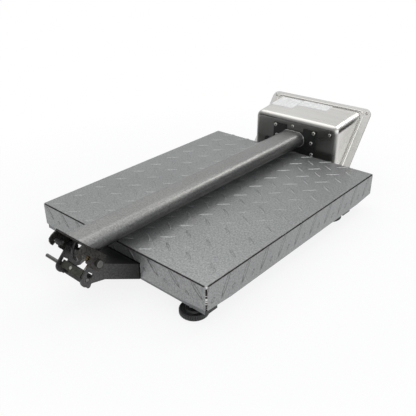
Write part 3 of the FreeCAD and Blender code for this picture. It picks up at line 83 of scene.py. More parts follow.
class Nodes:
    def __init__(self, name):
        self.material = bpy.data.materials.new(name)
        self.material.use_nodes = True
        self.tree = self.material.node_tree
        self.tree.nodes.clear()
        self.out = self.add("ShaderNodeOutputMaterial")
        self.bsdf = self.add("ShaderNodeBsdfPrincipled")
        self.link(self.bsdf, "BSDF", self.out, "Surface")

    def add(self, kind, **values):
        node = self.tree.nodes.new(kind)
        for key, value in values.items():
            setattr(node, key, value)
        return node

    def link(self, source, output, target, entry):
        self.tree.links.new(source.outputs[output], target.inputs[entry])

    # A number or a colour sets the input, and a socket is linked to it
    def feed(self, value, entry):
        if isinstance(value, (int, float)):
            entry.default_value = value
        elif isinstance(value, tuple):
            entry.default_value = (*value, 1.0)
        else:
            self.tree.links.new(value, entry)

    def use(self, value, entry):
        self.feed(value, self.bsdf.inputs[entry])

    def use_bump(self, node):
        self.link(node, "Normal", self.bsdf, "Normal")

    # Place of the shaded point in the shared frame, as X, Y and Z sockets
    def axes(self):
        source = self.add("ShaderNodeTexCoord")
        parts = self.add("ShaderNodeSeparateXYZ")
        self.link(source, "Object", parts, 0)
        return parts.outputs

    def point(self, stretch=(1.0, 1.0, 1.0)):
        scaled = self.add("ShaderNodeVectorMath", operation="MULTIPLY")
        scaled.inputs[1].default_value = stretch
        source = self.add("ShaderNodeTexCoord")
        self.link(source, "Object", scaled, 0)
        return scaled

    def noise(self, scale, detail=2.0, stretch=(1.0, 1.0, 1.0), roughness=0.5):
        node = self.add("ShaderNodeTexNoise")
        node.inputs["Scale"].default_value = scale
        node.inputs["Detail"].default_value = detail
        node.inputs["Roughness"].default_value = roughness
        self.link(self.point(stretch), 0, node, "Vector")
        return node.outputs["Fac"]

    # Between two levels of a noise, from one number or colour to another
    def ramp(self, value, levels, low, high):
        node = self.add("ShaderNodeValToRGB")
        for element, level, tone in zip(node.color_ramp.elements, levels, (low, high)):
            element.position = level
            element.color = (*tone, 1.0) if isinstance(tone, tuple) else (tone, tone, tone, 1.0)
        self.tree.links.new(value, node.inputs["Fac"])
        return node.outputs[0]

    def map_range(self, value, from_low, from_high, to_low, to_high):
        node = self.add("ShaderNodeMapRange")
        for entry, number in (("From Min", from_low), ("From Max", from_high),
                              ("To Min", to_low), ("To Max", to_high)):
            node.inputs[entry].default_value = number
        self.tree.links.new(value, node.inputs["Value"])
        return node.outputs[0]

    def grey(self, value):
        node = self.add("ShaderNodeCombineColor")
        for entry in range(3):
            self.tree.links.new(value, node.inputs[entry])
        return node.outputs[0]

    def maths(self, operation, first, second=None):
        node = self.add("ShaderNodeMath", operation=operation)
        self.feed(first, node.inputs[0])
        if second is not None:
            self.feed(second, node.inputs[1])
        return node.outputs[0]

    def mix(self, factor, first, second, blend="MIX"):
        node = self.add("ShaderNodeMix", data_type="RGBA", blend_type=blend)
        for entry, value in ((0, factor), (6, first), (7, second)):
            self.feed(value, node.inputs[entry])
        return node.outputs[2]

    def bump(self, height, strength, distance, before=None):
        node = self.add("ShaderNodeBump")
        node.inputs["Strength"].default_value = strength
        node.inputs["Distance"].default_value = distance
        self.tree.links.new(height, node.inputs["Height"])
        if before:
            self.link(before, "Normal", node, "Normal")
        return node


def darker(base, share):
    return tuple(value * (1 - share) for value in base)


def lighter(base, share):
    return tuple(min(1.0, value * (1 + share)) for value in base)


# Grey hammertone paint: metallic, with coarse and fine flecks in colour, gloss and relief

COARSE_FLECKS = 340.0
FINE_FLECKS = 950.0
CLOUDS = 11.0
NOISE_LEVELS = (0.3, 0.7)
FLECK_LEVELS = (0.34, 0.66)
GRAIN_TONES = (0.82, 1.16)
CLOUD_TONES = (0.95, 1.04)
SMOOTHER = 0.06
ROUGHER = 0.08
# Strength and depth of each relief
COARSE_RELIEF = (0.5, 0.0005)
FINE_RELIEF = (0.4, 0.0002)


def hammertone(name, base, contrast=0.24, metallic=0.72, roughness=0.36):
    n = Nodes(name)
    coarse = n.noise(COARSE_FLECKS, roughness=0.6)
    fine = n.noise(FINE_FLECKS, detail=1.0)
    cloud = n.noise(CLOUDS)
    tone = n.ramp(coarse, FLECK_LEVELS, darker(base, contrast), lighter(base, contrast))
    grain = n.ramp(fine, NOISE_LEVELS, *GRAIN_TONES)
    shade = n.ramp(cloud, NOISE_LEVELS, *CLOUD_TONES)
    colour = n.mix(1.0, tone, grain, "MULTIPLY")
    colour = n.mix(1.0, colour, shade, "MULTIPLY")
    n.use(n.ramp(coarse, NOISE_LEVELS, roughness - SMOOTHER, roughness + ROUGHER), "Roughness")
    n.use(metallic, "Metallic")
    relief = n.bump(coarse, *COARSE_RELIEF, n.bump(fine, *FINE_RELIEF))
    return n, colour, relief


def plain_paint(name, base, **looks):
    n, colour, relief = hammertone(name, base, **looks)
    n.use(colour, "Base Color")
    n.use_bump(relief)
    return n.material


# Paint whose tone changes along one axis, over a band given in millimetres, used here to paint shade onto a
# part
def graded_paint(name, base, axis, band, shades, **looks):
    n, colour, relief = hammertone(name, base, **looks)
    start, end = ((ORIGIN[axis] + spot) / 1000 for spot in band)
    shade = n.map_range(n.axes()[axis], start, end, *shades)
    n.use(n.mix(1.0, colour, n.grey(shade), "MULTIPLY"), "Base Color")
    n.use_bump(relief)
    return n.material


# Platform: the tread plate's marks run on down its skirts with painted shade in the grooves round them, and a
# painted shade line runs along its folded edges

PLATFORM_HALF_WIDTH = 0.2
PLATFORM_HALF_LENGTH = 0.25
ON_FACE = -0.0006
FOLD_DEPTH = 0.0028
FOLD_INSET = 0.0009
# Marks on the skirts: first place, pitch, middle depth, half length, slope and half width
SIDE_LONG = (0.0145, 0.0478, 0.0165, 0.0155, 0.53, 0.0032)
SIDE_DOT = (-0.003, 0.0478, 0.0295, 0.0035, 0.5, 0.0022)
END_LONG = (-0.0895, 0.0455, 0.0120, 0.0105, -0.85, 0.0036)
END_DOT = (-0.1623, 0.0455, 0.0262, 0.0025, -0.5, 0.0022)
# Whole pitches added so that the repeat never counts from a place below zero
EXTRA_PITCHES = 20
MARK_RISE = 0.0014
# The painted groove shade starts outside a mark's outline, is strongest at its foot and ends inside it
GROOVE_START = -1.1
GROOVE_FOOT = -0.15
GROOVE_END = 0.45
GROOVE_SHADE_SHARE = 0.75
GROOVE_SHADE_TONE = (0.05, 0.045, 0.04)
# Distances from the fold and from the corner over which the painted shade line, the bright tip and the seam
# fade
FOLD_SHADE_BAND = (0.0011, 0.0024)
FOLD_SHADE_SHARE = 0.95
TIP_BAND = (0.003, 0.006)
SEAM_BAND = (0.0019, 0.0024)
DRIFT_SCALE = 90.0
DRIFT = 0.0008
DASH_SCALE = 330.0
DASH_STRETCH = (0.1, 0.1, 1.0)
DASH_LEVELS = (0.44, 0.5)
FOLD_SHADE_TONE = (0.016, 0.012, 0.010)
TIP_TONE = (0.62, 0.62, 0.61)
SEAM_TONE = (0.014, 0.011, 0.010)
SEAM_METAL = (0.6, 0.6, 0.59)


# Slanted lens marks that repeat along a wall: their height from 0 to 1, and how far inside one a point is
def wall_marks(n, along, depth, first, pitch, middle, half_length, slope, half_width):
    shifted = n.maths("ADD", along, EXTRA_PITCHES * pitch + pitch / 2 - first)
    tile = n.maths("SUBTRACT", n.maths("MODULO", shifted, pitch), pitch / 2)
    down = n.maths("SUBTRACT", depth, middle)
    across = n.maths("SUBTRACT", tile, n.maths("MULTIPLY", down, slope))
    u = n.maths("DIVIDE", down, half_length)
    v = n.maths("DIVIDE", across, half_width)
    inside = n.maths("SUBTRACT", 1.0, n.maths("ADD", n.maths("MULTIPLY", u, u), n.maths("MULTIPLY", v, v)))
    return n.maths("POWER", n.maths("MAXIMUM", inside, 0.0), 0.5), inside


# How strongly painted shade darkens the groove round a mark
def painted_groove_shade(n, inside):
    rising = n.map_range(inside, GROOVE_START, GROOVE_FOOT, 0.0, GROOVE_SHADE_SHARE)
    falling = n.map_range(inside, GROOVE_FOOT, GROOVE_END, 1.0, 0.0)
    return n.maths("MULTIPLY", rising, falling)


def platform_paint(base):
    n, colour, relief = hammertone("platform_paint", base)
    x, along, up = n.axes()
    y = n.maths("SUBTRACT", along, ORIGIN.y / 1000)
    height = n.maths("SUBTRACT", up, ORIGIN.z / 1000)
    depth = n.maths("MULTIPLY", height, -1.0)
    edge_x = n.maths("SUBTRACT", n.maths("ABSOLUTE", x), PLATFORM_HALF_WIDTH)
    edge_y = n.maths("SUBTRACT", n.maths("ABSOLUTE", y), PLATFORM_HALF_LENGTH)
    below = n.maths("GREATER_THAN", depth, FOLD_DEPTH)
    marks = []
    painted_groove_shades = []
    for edge, run, rows in ((edge_x, y, (SIDE_LONG, SIDE_DOT)), (edge_y, x, (END_LONG, END_DOT))):
        on_face = n.maths("MULTIPLY", n.maths("GREATER_THAN", edge, ON_FACE), below)
        (long_mark, long_rim), (dot_mark, dot_rim) = (wall_marks(n, run, depth, *row) for row in rows)
        marks.append(n.maths("MULTIPLY", n.maths("MAXIMUM", long_mark, dot_mark), on_face))
        painted_groove_shades.append(n.maths("MULTIPLY", painted_groove_shade(n, n.maths("MAXIMUM", long_rim, dot_rim)), on_face))
    n.use_bump(n.bump(n.maths("MAXIMUM", *marks), 1.0, MARK_RISE, relief))
    # Painted shade darkens the grooves round the marks
    colour = n.mix(n.maths("MAXIMUM", *painted_groove_shades), colour, GROOVE_SHADE_TONE)
    # Painted shade line on the fold: there both the top and the nearest side plane are close to the shaded
    # point
    drift = n.maths("MULTIPLY", n.maths("SUBTRACT", n.noise(DRIFT_SCALE, detail=3.0), 0.5), DRIFT)
    outside = n.maths("MAXIMUM", edge_x, edge_y)
    from_fold = n.maths("ADD", n.maths("ABSOLUTE", n.maths("ADD", outside, FOLD_INSET)),
                        n.maths("ABSOLUTE", n.maths("ADD", height, FOLD_INSET)))
    fold_shade = n.map_range(n.maths("ADD", from_fold, drift), *FOLD_SHADE_BAND, FOLD_SHADE_SHARE, 0.0)
    # At the corners the fold is bright, and a dashed seam runs down from it
    from_corner = n.maths("ADD", n.maths("ABSOLUTE", edge_x), n.maths("ABSOLUTE", edge_y))
    tip = n.map_range(from_corner, *TIP_BAND, 1.0, 0.0)
    colour = n.mix(n.maths("MULTIPLY", fold_shade, n.maths("SUBTRACT", 1.0, tip)), colour, FOLD_SHADE_TONE)
    colour = n.mix(n.maths("MULTIPLY", fold_shade, tip), colour, TIP_TONE)
    dash = n.map_range(n.noise(DASH_SCALE, detail=1.0, stretch=DASH_STRETCH), *DASH_LEVELS, 0.0, 1.0)
    near = n.maths("MULTIPLY", n.map_range(from_corner, *SEAM_BAND, 1.0, 0.0), below)
    n.use(n.mix(near, colour, n.mix(dash, SEAM_METAL, SEAM_TONE)), "Base Color")
    return n.material


# Metals and plastics: one fine grain shows in colour, gloss and relief. A contrast is a share of the base
# colour, gloss is given as two shares of the roughness, and a relief's depth is in metres

METAL_GRAIN = 300.0
METAL_CONTRAST = 0.06
METAL_GLOSS = (0.85, 1.2)
PLASTIC_CONTRAST = 0.15
PLASTIC_GLOSS = (0.9, 1.1)
GRAIN_DETAIL = 3.0
GRAIN_ROUGHNESS = 0.6
GRAIN_DEPTH = 0.0001
TUB_GRAIN = 260.0
TUB_STREAK = (0.03, 1.0, 1.0)
TUB_CONTRAST = 0.025
TUB_GLOSS = (0.9, 1.12)
TUB_RELIEF = (0.03, 0.00005)
# The tub's back face is painted darker over this band of Y, in millimetres: a painted shade for the dark
# reflection it shows
BACK_BAND = (-276.5, -270.2)
BACK_SHADE = 0.36


def grain_colour(n, grain, base, contrast):
    return n.ramp(grain, NOISE_LEVELS, darker(base, contrast), lighter(base, contrast))


def use_gloss(n, grain, roughness, shares):
    n.use(n.ramp(grain, NOISE_LEVELS, *(roughness * share for share in shares)), "Roughness")


# Brushed stainless of the tub, with a painted shade on its back face
def tub_steel(name, base, roughness):
    n = Nodes(name)
    grain = n.noise(TUB_GRAIN, GRAIN_DETAIL, TUB_STREAK, GRAIN_ROUGHNESS)
    start, end = ((ORIGIN.y + spot) / 1000 for spot in BACK_BAND)
    back = n.map_range(n.axes()[1], start, end, 0.0, 1.0)
    shade = grain_colour(n, grain, base, TUB_CONTRAST)
    n.use(n.mix(back, shade, tuple(value * BACK_SHADE for value in base)), "Base Color")
    use_gloss(n, grain, roughness, TUB_GLOSS)
    n.use_bump(n.bump(grain, *TUB_RELIEF))
    n.use(1.0, "Metallic")
    return n.material


def metal(name, base, roughness, streak=(1.0, 1.0, 1.0), relief=0.06):
    n = Nodes(name)
    grain = n.noise(METAL_GRAIN, GRAIN_DETAIL, streak, GRAIN_ROUGHNESS)
    n.use(grain_colour(n, grain, base, METAL_CONTRAST), "Base Color")
    use_gloss(n, grain, roughness, METAL_GLOSS)
    n.use_bump(n.bump(grain, relief, GRAIN_DEPTH))
    n.use(1.0, "Metallic")
    return n.material


def plastic(name, base, roughness, relief=0.15, scale=900.0):
    n = Nodes(name)
    grain = n.noise(scale)
    n.use(grain_colour(n, grain, base, PLASTIC_CONTRAST), "Base Color")
    use_gloss(n, grain, roughness, PLASTIC_GLOSS)
    n.use_bump(n.bump(grain, relief, GRAIN_DEPTH))
    return n.material


def board_material():
    n = Nodes("board")
    traces = n.add("ShaderNodeTexBrick")
    for entry, value in (("Scale", 160.0), ("Mortar Size", 0.03), ("Color1", (0.012, 0.10, 0.04, 1)),
                         ("Color2", (0.014, 0.12, 0.05, 1)), ("Mortar", (0.03, 0.20, 0.09, 1))):
        traces.inputs[entry].default_value = value
    n.link(n.point(), 0, traces, "Vector")
    n.use(traces.outputs[0], "Base Color")
    n.use(0.35, "Roughness")
    return n.material


def glass_material():
    n = Nodes("window")
    smears = n.noise(60.0)
    n.use(n.ramp(smears, NOISE_LEVELS, 0.02, 0.06), "Roughness")
    n.use((0.93, 0.95, 0.95), "Base Color")
    n.use(1.0, "Transmission Weight")
    n.use(1.49, "IOR")
    return n.material


make_camera()

pan_paint = platform_paint((0.285, 0.29, 0.29))
# Painted shade: the column's lower half, and the arm where the platform's edge overhangs it, are painted
# darker, and the arm's base tone is darkened as well
column_paint_painted_shade = graded_paint("column_paint_painted_shade", (0.26, 0.26, 0.254), axis=2, band=(20.0, 33.0),
                            shades=(0.45, 1.0), contrast=0.2, metallic=0.88)
arm_paint_painted_shade = graded_paint("arm_paint_painted_shade", (0.105, 0.105, 0.103), axis=1, band=(255.0, 310.0),
                         shades=(0.16, 0.7), contrast=0.3)
# Painted shade: the hinge hook's grey paint is darkened to near black
hinge_paint_painted_shade = plain_paint("hinge_paint_painted_shade", (0.055, 0.052, 0.049), contrast=0.3, metallic=0.8, roughness=0.3)
# Painted shade: the frame tubes carry the platform's grey paint, darkened
frame_paint = plain_paint("frame_paint", (0.17, 0.175, 0.18), contrast=0.2)
black_paint = plain_paint("black_paint", (0.014, 0.014, 0.014), contrast=0.15, metallic=0.0, roughness=0.4)
bar_paint = plain_paint("bar_paint", (0.085, 0.085, 0.07), contrast=0.2)
weld_paint = plain_paint("weld_paint", (0.30, 0.30, 0.29), contrast=0.3)
steel = tub_steel("tub_steel", (0.68, 0.67, 0.645), 0.3)
panel_steel = metal("panel_steel", (0.46, 0.45, 0.43), 0.3, streak=(0.02, 1.0, 1.0), relief=0.12)
zinc = metal("zinc", (0.56, 0.55, 0.52), 0.3)
dark_zinc = metal("dark_zinc", (0.16, 0.16, 0.155), 0.42)
# Darker zinc in the screws' cross recesses is painted shade
recess_shade_zinc = metal("recess_shade_zinc", (0.05, 0.048, 0.045), 0.5)
aluminium = metal("aluminium", (0.74, 0.74, 0.75), 0.33, streak=(1.0, 0.05, 1.0), relief=0.1)
bronze = metal("spring_wire", (0.17, 0.13, 0.07), 0.4)
black_plastic = plastic("black_plastic", (0.014, 0.014, 0.015), 0.5)
gloss_plastic = plastic("gloss_plastic", (0.02, 0.02, 0.021), 0.2, relief=0.03)
key_plastic = plastic("key_plastic", (0.05, 0.07, 0.10), 0.4)
digit_plastic = plastic("digit_plastic", (0.060, 0.066, 0.058), 0.35, relief=0.03)
rubber = plastic("rubber", (0.017, 0.017, 0.017), 0.75, relief=0.25, scale=600.0)
cable = plastic("cable", (0.012, 0.012, 0.012), 0.33, relief=0.05, scale=400.0)
foil = plastic("foil", (0.80, 0.80, 0.79), 0.35, relief=0.05, scale=200.0)
film = plastic("film", (0.028, 0.03, 0.034), 0.42, relief=0.05, scale=500.0)
board = board_material()
glass = glass_material()

FOOT_ROWS = (("front", -160.0), ("rear", 235.0))
FOOT_SIDES = (("right", -161.5), ("left", 161.5))
FEET = [(row, side, x, y) for row, y in FOOT_ROWS for side, x in FOOT_SIDES]
FOOT_DISCS = ["foot_disc_%s_%s" % (row, side) for row, side, x, y in FEET]
FOOT_PADS = ["foot_pad_%s_%s" % (row, side) for row, side, x, y in FEET]
KEY_COUNT = 6
KEYS = ["key_%d" % number for number in range(1, KEY_COUNT + 1)]

for material, names in (
        (pan_paint, ["platform_pan"]),
        (column_paint_painted_shade, ["column_tube"]),
        (arm_paint_painted_shade, ["column_arm"]),
        (hinge_paint_painted_shade, ["hinge_hook"]),
        (frame_paint, ["upper_cross_tubes", "upper_spine", "base_front_tube", "base_rear_tube",
                       "base_spine"]),
        (black_paint, ["head_bracket"]),
        (bar_paint, ["latch_bar"]),
        (steel, ["head_tub"]),
        (panel_steel, ["front_panel"]),
        (dark_zinc, ["pivot_pin", "pivot_nut", "pivot_bush", "latch_rod"]),
        (zinc, ["latch_screw", "bracket_screws", "case_screws", "panel_screws", "cell_spacers", "cell_bolts",
                "overload_stops", "battery_strap", "foot_lock_nuts", "foot_weld_nuts"]),
        (aluminium, ["load_cell"]),
        (bronze, ["latch_spring"]),
        (black_plastic, ["tube_end_caps", "power_rocker_housing", "charge_inlet", "battery"] + FOOT_DISCS),
        (gloss_plastic, ["power_rocker", "display_module"]),
        (key_plastic, KEYS),
        (rubber, ["pan_pads", "column_rest_pad", "hook_grommet", "head_grommet", "panel_gasket"] + FOOT_PADS),
        (cable, ["lead_base", "lead_loop", "lead_column"]),
        (board, ["front_board"]),
        (glass, ["display_window"]),
        (foil, ["blank_labels"])):
    for node_name in names:
        slots = nodes[node_name].data.materials
        slots.clear()
        slots.append(material)


# Pieces made here: most of them ride a body of the frame

MERGE_DISTANCE = 0.00001


def link_object(name, data):
    thing = bpy.data.objects.new(name, data)
    scene.collection.objects.link(thing)
    return thing


def add_mesh(name, bm, material, body, smooth=True):
    data = bpy.data.meshes.new(name)
    bm.to_mesh(data)
    bm.free()
    for polygon in data.polygons:
        polygon.use_smooth = smooth
    data.materials.append(material)
    piece = link_object(name, data)
    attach(piece, body)
    return piece


def close_up(bm):
    bmesh.ops.remove_doubles(bm, verts=bm.verts, dist=MERGE_DISTANCE)
    bmesh.ops.recalc_face_normals(bm, faces=bm.faces)


# The mesh that a curve makes; the curve itself is dropped
def curve_mesh(curve, material):
    name = curve.name
    holder = bpy.data.objects.new(name + "_curve", curve)
    data = bpy.data.meshes.new_from_object(holder)
    bpy.data.objects.remove(holder)
    bpy.data.curves.remove(curve)
    data.name = name
    data.materials.clear()
    data.materials.append(material)
    return data


# Faces between two rings of as many vertices
def band_between(bm, ring, after):
    count = len(ring)
    return [bm.faces.new((ring[step], ring[(step + 1) % count], after[(step + 1) % count], after[step]))
            for step in range(count)]


# Tread plate: raised lens bars in two families, at right angles and half a cell apart

BAR_HALF_LENGTH = 14.0
BAR_HALF_WIDTH = 3.0
BAR_RISE = 1.25
BAR_SINK = 0.03
BAR_TAPER = 0.6
BAR_FULLNESS = 1.25
BAR_SLICES = 17
BAR_STEPS = (-1.0, -0.88, -0.66, -0.35, 0.0, 0.35, 0.66, 0.88, 1.0)
BAR_TURN = 43.0
BAR_COLUMNS = (-146.5, -102.8, -57.2, -12.0, 33.0, 78.0, 123.0, 168.0)
BAR_ROWS = (234.5, 187.0, 138.7, 88.5, 39.3, -9.0, -57.5, -106.4, -152.5, -197.0, -240.9)
CROSS_TURN = 147.0
CROSS_COLUMNS = (-168.0, -121.0, -79.0, -35.0, 10.0, 55.0, 100.0, 145.0)
CROSS_ROWS = (207.0, 158.5, 110.0, 61.0, 13.0, -36.5, -85.0, -133.5, -179.5, -221.0)
TREAD_HALF_WIDTH = 186
TREAD_HALF_LENGTH = 242
# The pressed pattern opens slightly towards the hinge
PATTERN_SPREAD = 0.00022
SPREAD_FROM_Y = -5


def lens_bar(bm, x, y, degrees):
    turn = math.radians(degrees)
    along = Vector((math.cos(turn), math.sin(turn), 0))
    across = Vector((-math.sin(turn), math.cos(turn), 0))
    centre = Vector((x * (1 + PATTERN_SPREAD * (y - SPREAD_FROM_Y)), y, 0)) + ORIGIN
    grid = []
    for slice_number in range(BAR_SLICES):
        u = -1 + 2 * slice_number / (BAR_SLICES - 1)
        taper = max(0.0, 1 - u * u) ** BAR_TAPER
        line = []
        for v in BAR_STEPS:
            rise = BAR_RISE * (0.5 + 0.5 * math.cos(math.pi * v)) * min(1.0, BAR_FULLNESS * taper)
            point = (centre + along * (u * BAR_HALF_LENGTH) + across * (v * BAR_HALF_WIDTH * taper)
                     + Vector((0, 0, rise - BAR_SINK)))
            line.append(bm.verts.new(point / 1000))
        grid.append(line)
    for line, after in zip(grid, grid[1:]):
        for step in range(len(BAR_STEPS) - 1):
            bm.faces.new((line[step], after[step], after[step + 1], line[step + 1]))


def tread():
    bm = bmesh.new()
    for columns, rows, degrees in ((BAR_COLUMNS, BAR_ROWS, BAR_TURN),
                                   (CROSS_COLUMNS, CROSS_ROWS, CROSS_TURN)):
        for x in columns:
            for y in rows:
                if abs(x) < TREAD_HALF_WIDTH and abs(y) < TREAD_HALF_LENGTH:
                    lens_bar(bm, x, y, degrees)
    close_up(bm)
    add_mesh("tread_bars", bm, pan_paint, "base")


# Fluted levelling feet with a raised hub and the stud: radius, height, and 1 where the flutes are cut

FOOT_PROFILE = ((0.0, -70.3, 0), (20.0, -70.3, 0), (20.0, -72.3, 0), (21.6, -72.3, 0), (23.4, -70.6, 1),
                (23.4, -64.0, 1), (21.8, -62.3, 0), (19.6, -62.3, 0), (19.0, -63.3, 0), (14.6, -63.3, 0),
                (14.0, -62.3, 0), (12.6, -60.9, 0), (5.2, -60.9, 0), (5.0, -60.5, 0), (5.0, -46.4, 0),
                (0.0, -46.4, 0))
FLUTES = 41
FLUTE_DEPTH = 1.1
STEPS_PER_FLUTE = 4


def turned_foot(bm, centre):
    segments = STEPS_PER_FLUTE * FLUTES
    rings = []
    for radius, z, fluted in FOOT_PROFILE:
        ring = []
        for step in range(segments):
            turn = 2 * math.pi * step / segments
            cut = FLUTE_DEPTH * (0.5 - 0.5 * math.cos(FLUTES * turn)) ** 2 if fluted else 0.0
            reach = radius - cut
            spot = Vector((reach * math.cos(turn), reach * math.sin(turn), z))
            ring.append(bm.verts.new((centre + spot) / 1000))
        rings.append(ring)
    for ring, after in zip(rings, rings[1:]):
        band_between(bm, ring, after)


def feet():
    for row, side, x, y in FEET:
        bm = bmesh.new()
        turned_foot(bm, ORIGIN + Vector((x, y, 0)))
        close_up(bm)
        piece = add_mesh("fluted_foot_%s_%s" % (row, side), bm, black_plastic, "foot_%s_%s" % (row, side),
                         smooth=False)
        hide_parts("foot_disc_%s_%s" % (row, side))


# Pan head screws with a cross recess, whose faces take a darker zinc as painted shade

SCREW_SEGMENTS = 32
SHANK_RADIUS = 2.0
HEAD_HEIGHT = 0.6
# Rings of the head: shares of its radius and height, and 1 where a ring follows the cross
HEAD_RINGS = ((1.0, 0.0, 0), (1.0, 0.35, 0), (0.93, 0.7, 0), (0.78, 0.92, 0), (0.6, 1.0, 0),
              (0.56, 0.97, 1), (0.5, 0.1, 1))
CROSS_PINCH = 0.6
Y_AXIS = Vector((0, 1, 0))


def screw(bm, seat, axis, radius, length):
    axis = axis.normalized()
    side = axis.orthogonal().normalized()
    other = axis.cross(side)
    height = HEAD_HEIGHT * radius
    rings = [(SHANK_RADIUS, -length, 0), (SHANK_RADIUS, 0.0, 0)]
    rings += [(reach * radius, out * height, lobed) for reach, out, lobed in HEAD_RINGS]
    made = []
    for reach, out, lobed in rings:
        ring = []
        for step in range(SCREW_SEGMENTS):
            turn = 2 * math.pi * step / SCREW_SEGMENTS
            share = 1.0 - CROSS_PINCH * abs(math.sin(2 * turn)) ** 0.5 if lobed else 1.0
            spot = side * (math.cos(turn) * reach * share) + other * (math.sin(turn) * reach * share)
            ring.append(bm.verts.new((ORIGIN + seat + axis * out + spot) / 1000))
        made.append(ring)
    for ring, after, (reach, out, lobed) in zip(made, made[1:], rings):
        for face in band_between(bm, ring, after):
            face.material_index = lobed
    bm.faces.new(made[0])
    bm.faces.new(made[-1]).material_index = 1


def screws(name, node, places, axis, radius, length):
    bm = bmesh.new()
    for seat in places:
        screw(bm, seat, axis, radius, length)
    bmesh.ops.recalc_face_normals(bm, faces=bm.faces)
    piece = add_mesh(name, bm, zinc, "column", smooth=False)
    piece.data.materials.append(recess_shade_zinc)
    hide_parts(node)


# The front panel's middle and its tilt
PANEL_Y = -325.29
PANEL_Z = 16.34
PANEL_COS = 0.5892
PANEL_SIN = 0.808
PANEL_BACKWARD = Vector((0, PANEL_SIN, PANEL_COS))


# Place on the front panel: s up the panel, out towards the reader
def on_panel(x, s, out):
    return Vector((x, PANEL_Y - PANEL_COS * s - PANEL_SIN * out, PANEL_Z + PANEL_SIN * s - PANEL_COS * out))


# Seats of the screws. A bracket row is how far the screws stand from the bracket's middle, and their height
# over the column's middle
HEAD_BACK_Y = -269
BRACKET_Y = -266
BRACKET_X = -2.4
COLUMN_Z = 22.8
BRACKET_ROWS = ((48.2, 21.8), (43.8, -1.1), (46.8, -26.3))
CASE_SCREW_X = (-86.5, 3.9)
CASE_SCREW_Z = 48.2
PANEL_SCREW_X = 115.4
PANEL_SCREW_S = 73.5
FLANGE_BACK = -1.2


def all_screws():
    seats = [Vector((BRACKET_X + side * x, BRACKET_Y, COLUMN_Z + up)) for x, up in BRACKET_ROWS
             for side in (-1, 1)]
    screws("cross_bracket_screws", "bracket_screws", seats, Y_AXIS, radius=4.0, length=8.0)
    seats = [Vector((x, HEAD_BACK_Y, CASE_SCREW_Z)) for x in CASE_SCREW_X]
    screws("cross_case_screws", "case_screws", seats, Y_AXIS, radius=3.5, length=4.0)
    seats = [on_panel(x, s, FLANGE_BACK) for x in (-PANEL_SCREW_X, PANEL_SCREW_X)
             for s in (-PANEL_SCREW_S, PANEL_SCREW_S)]
    screws("cross_panel_screws", "panel_screws", seats, PANEL_BACKWARD, radius=3.4, length=3.6)


# Flat plates with holes on the front panel

CORNER_POINTS = 6


def rounded(width, height, radius, x=0.0, s=0.0):
    points = []
    for quarter, (sx, sy) in enumerate(((1, 1), (-1, 1), (-1, -1), (1, -1))):
        for step in range(CORNER_POINTS):
            turn = math.radians(90 * quarter + 90 // (CORNER_POINTS - 1) * step)
            points.append((x + sx * (width / 2 - radius) + radius * math.cos(turn),
                           s + sy * (height / 2 - radius) + radius * math.sin(turn)))
    return points


def panel_plate(name, outlines, out, thickness, material, slot):
    curve = bpy.data.curves.new(name, "CURVE")
    curve.dimensions = "2D"
    curve.fill_mode = "BOTH"
    curve.extrude = thickness / 2000
    for outline in outlines:
        spline = curve.splines.new("POLY")
        spline.points.add(len(outline) - 1)
        for point, (x, s) in zip(spline.points, outline):
            point.co = (x / 1000, s / 1000, 0, 1)
        spline.use_cyclic_u = True
    data = curve_mesh(curve, material)
    for vertex in data.vertices:
        x, s, depth = (value * 1000 for value in vertex.co)
        vertex.co = (on_panel(x, s, out + thickness / 2 + depth) + ORIGIN) / 1000
    piece = link_object(name, data)
    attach(piece, "column")
    return piece


DISPLAY_S = 34.0
KEYS_S = -36
FIRST_KEY_X = -82.5
KEY_PITCH = 33.0
DIGITS = 6
FIRST_DIGIT_X = -62.5
DIGIT_PITCH = 25.0
DIGIT_HALF_WIDTH = 6.5
DIGIT_HALF_HEIGHT = 13.0
SEGMENT = 1.6
POINT_GAP = 3
POINT_CORNERS = 8
# Width, height and corner radius of the plates and their holes
DISPLAY_BODY = (166, 42, 1.0)
WINDOW_FILM = (190, 62, 6)
WINDOW_HOLE = (170.4, 46.4, 3)
KEY_FILM = (206, 32, 6)
KEY_HOLE = (26.4, 18.4, 2.8)
# Where each layer begins, counted out from the panel's middle, and how thick it is
DISPLAY_LAYER = (-7.8, 6.8)
DIGIT_LAYER = (-0.98, 0.1)
FILM_LAYER = (3.2, 0.15)


# Seven segments and a decimal point, all unlit
def segment_outlines(x, s):
    half = SEGMENT / 2
    left = x - DIGIT_HALF_WIDTH
    right = x + DIGIT_HALF_WIDTH
    bars = []
    for level in (s - DIGIT_HALF_HEIGHT, s, s + DIGIT_HALF_HEIGHT):
        bars.append([(left + SEGMENT, level - half), (right - SEGMENT, level - half), (right - half, level),
                     (right - SEGMENT, level + half), (left + SEGMENT, level + half), (left + half, level)])
    for edge in (left, right):
        for low in (s - DIGIT_HALF_HEIGHT, s):
            high = low + DIGIT_HALF_HEIGHT
            bars.append([(edge - half, low + SEGMENT), (edge, low + half), (edge + half, low + SEGMENT),
                         (edge + half, high - SEGMENT), (edge, high - half), (edge - half, high - SEGMENT)])
    turns = [2 * math.pi * step / POINT_CORNERS for step in range(POINT_CORNERS)]
    point_x = right + POINT_GAP
    point_s = s - DIGIT_HALF_HEIGHT
    bars.append([(point_x + SEGMENT * math.cos(turn), point_s + SEGMENT * math.sin(turn)) for turn in turns])
    return bars


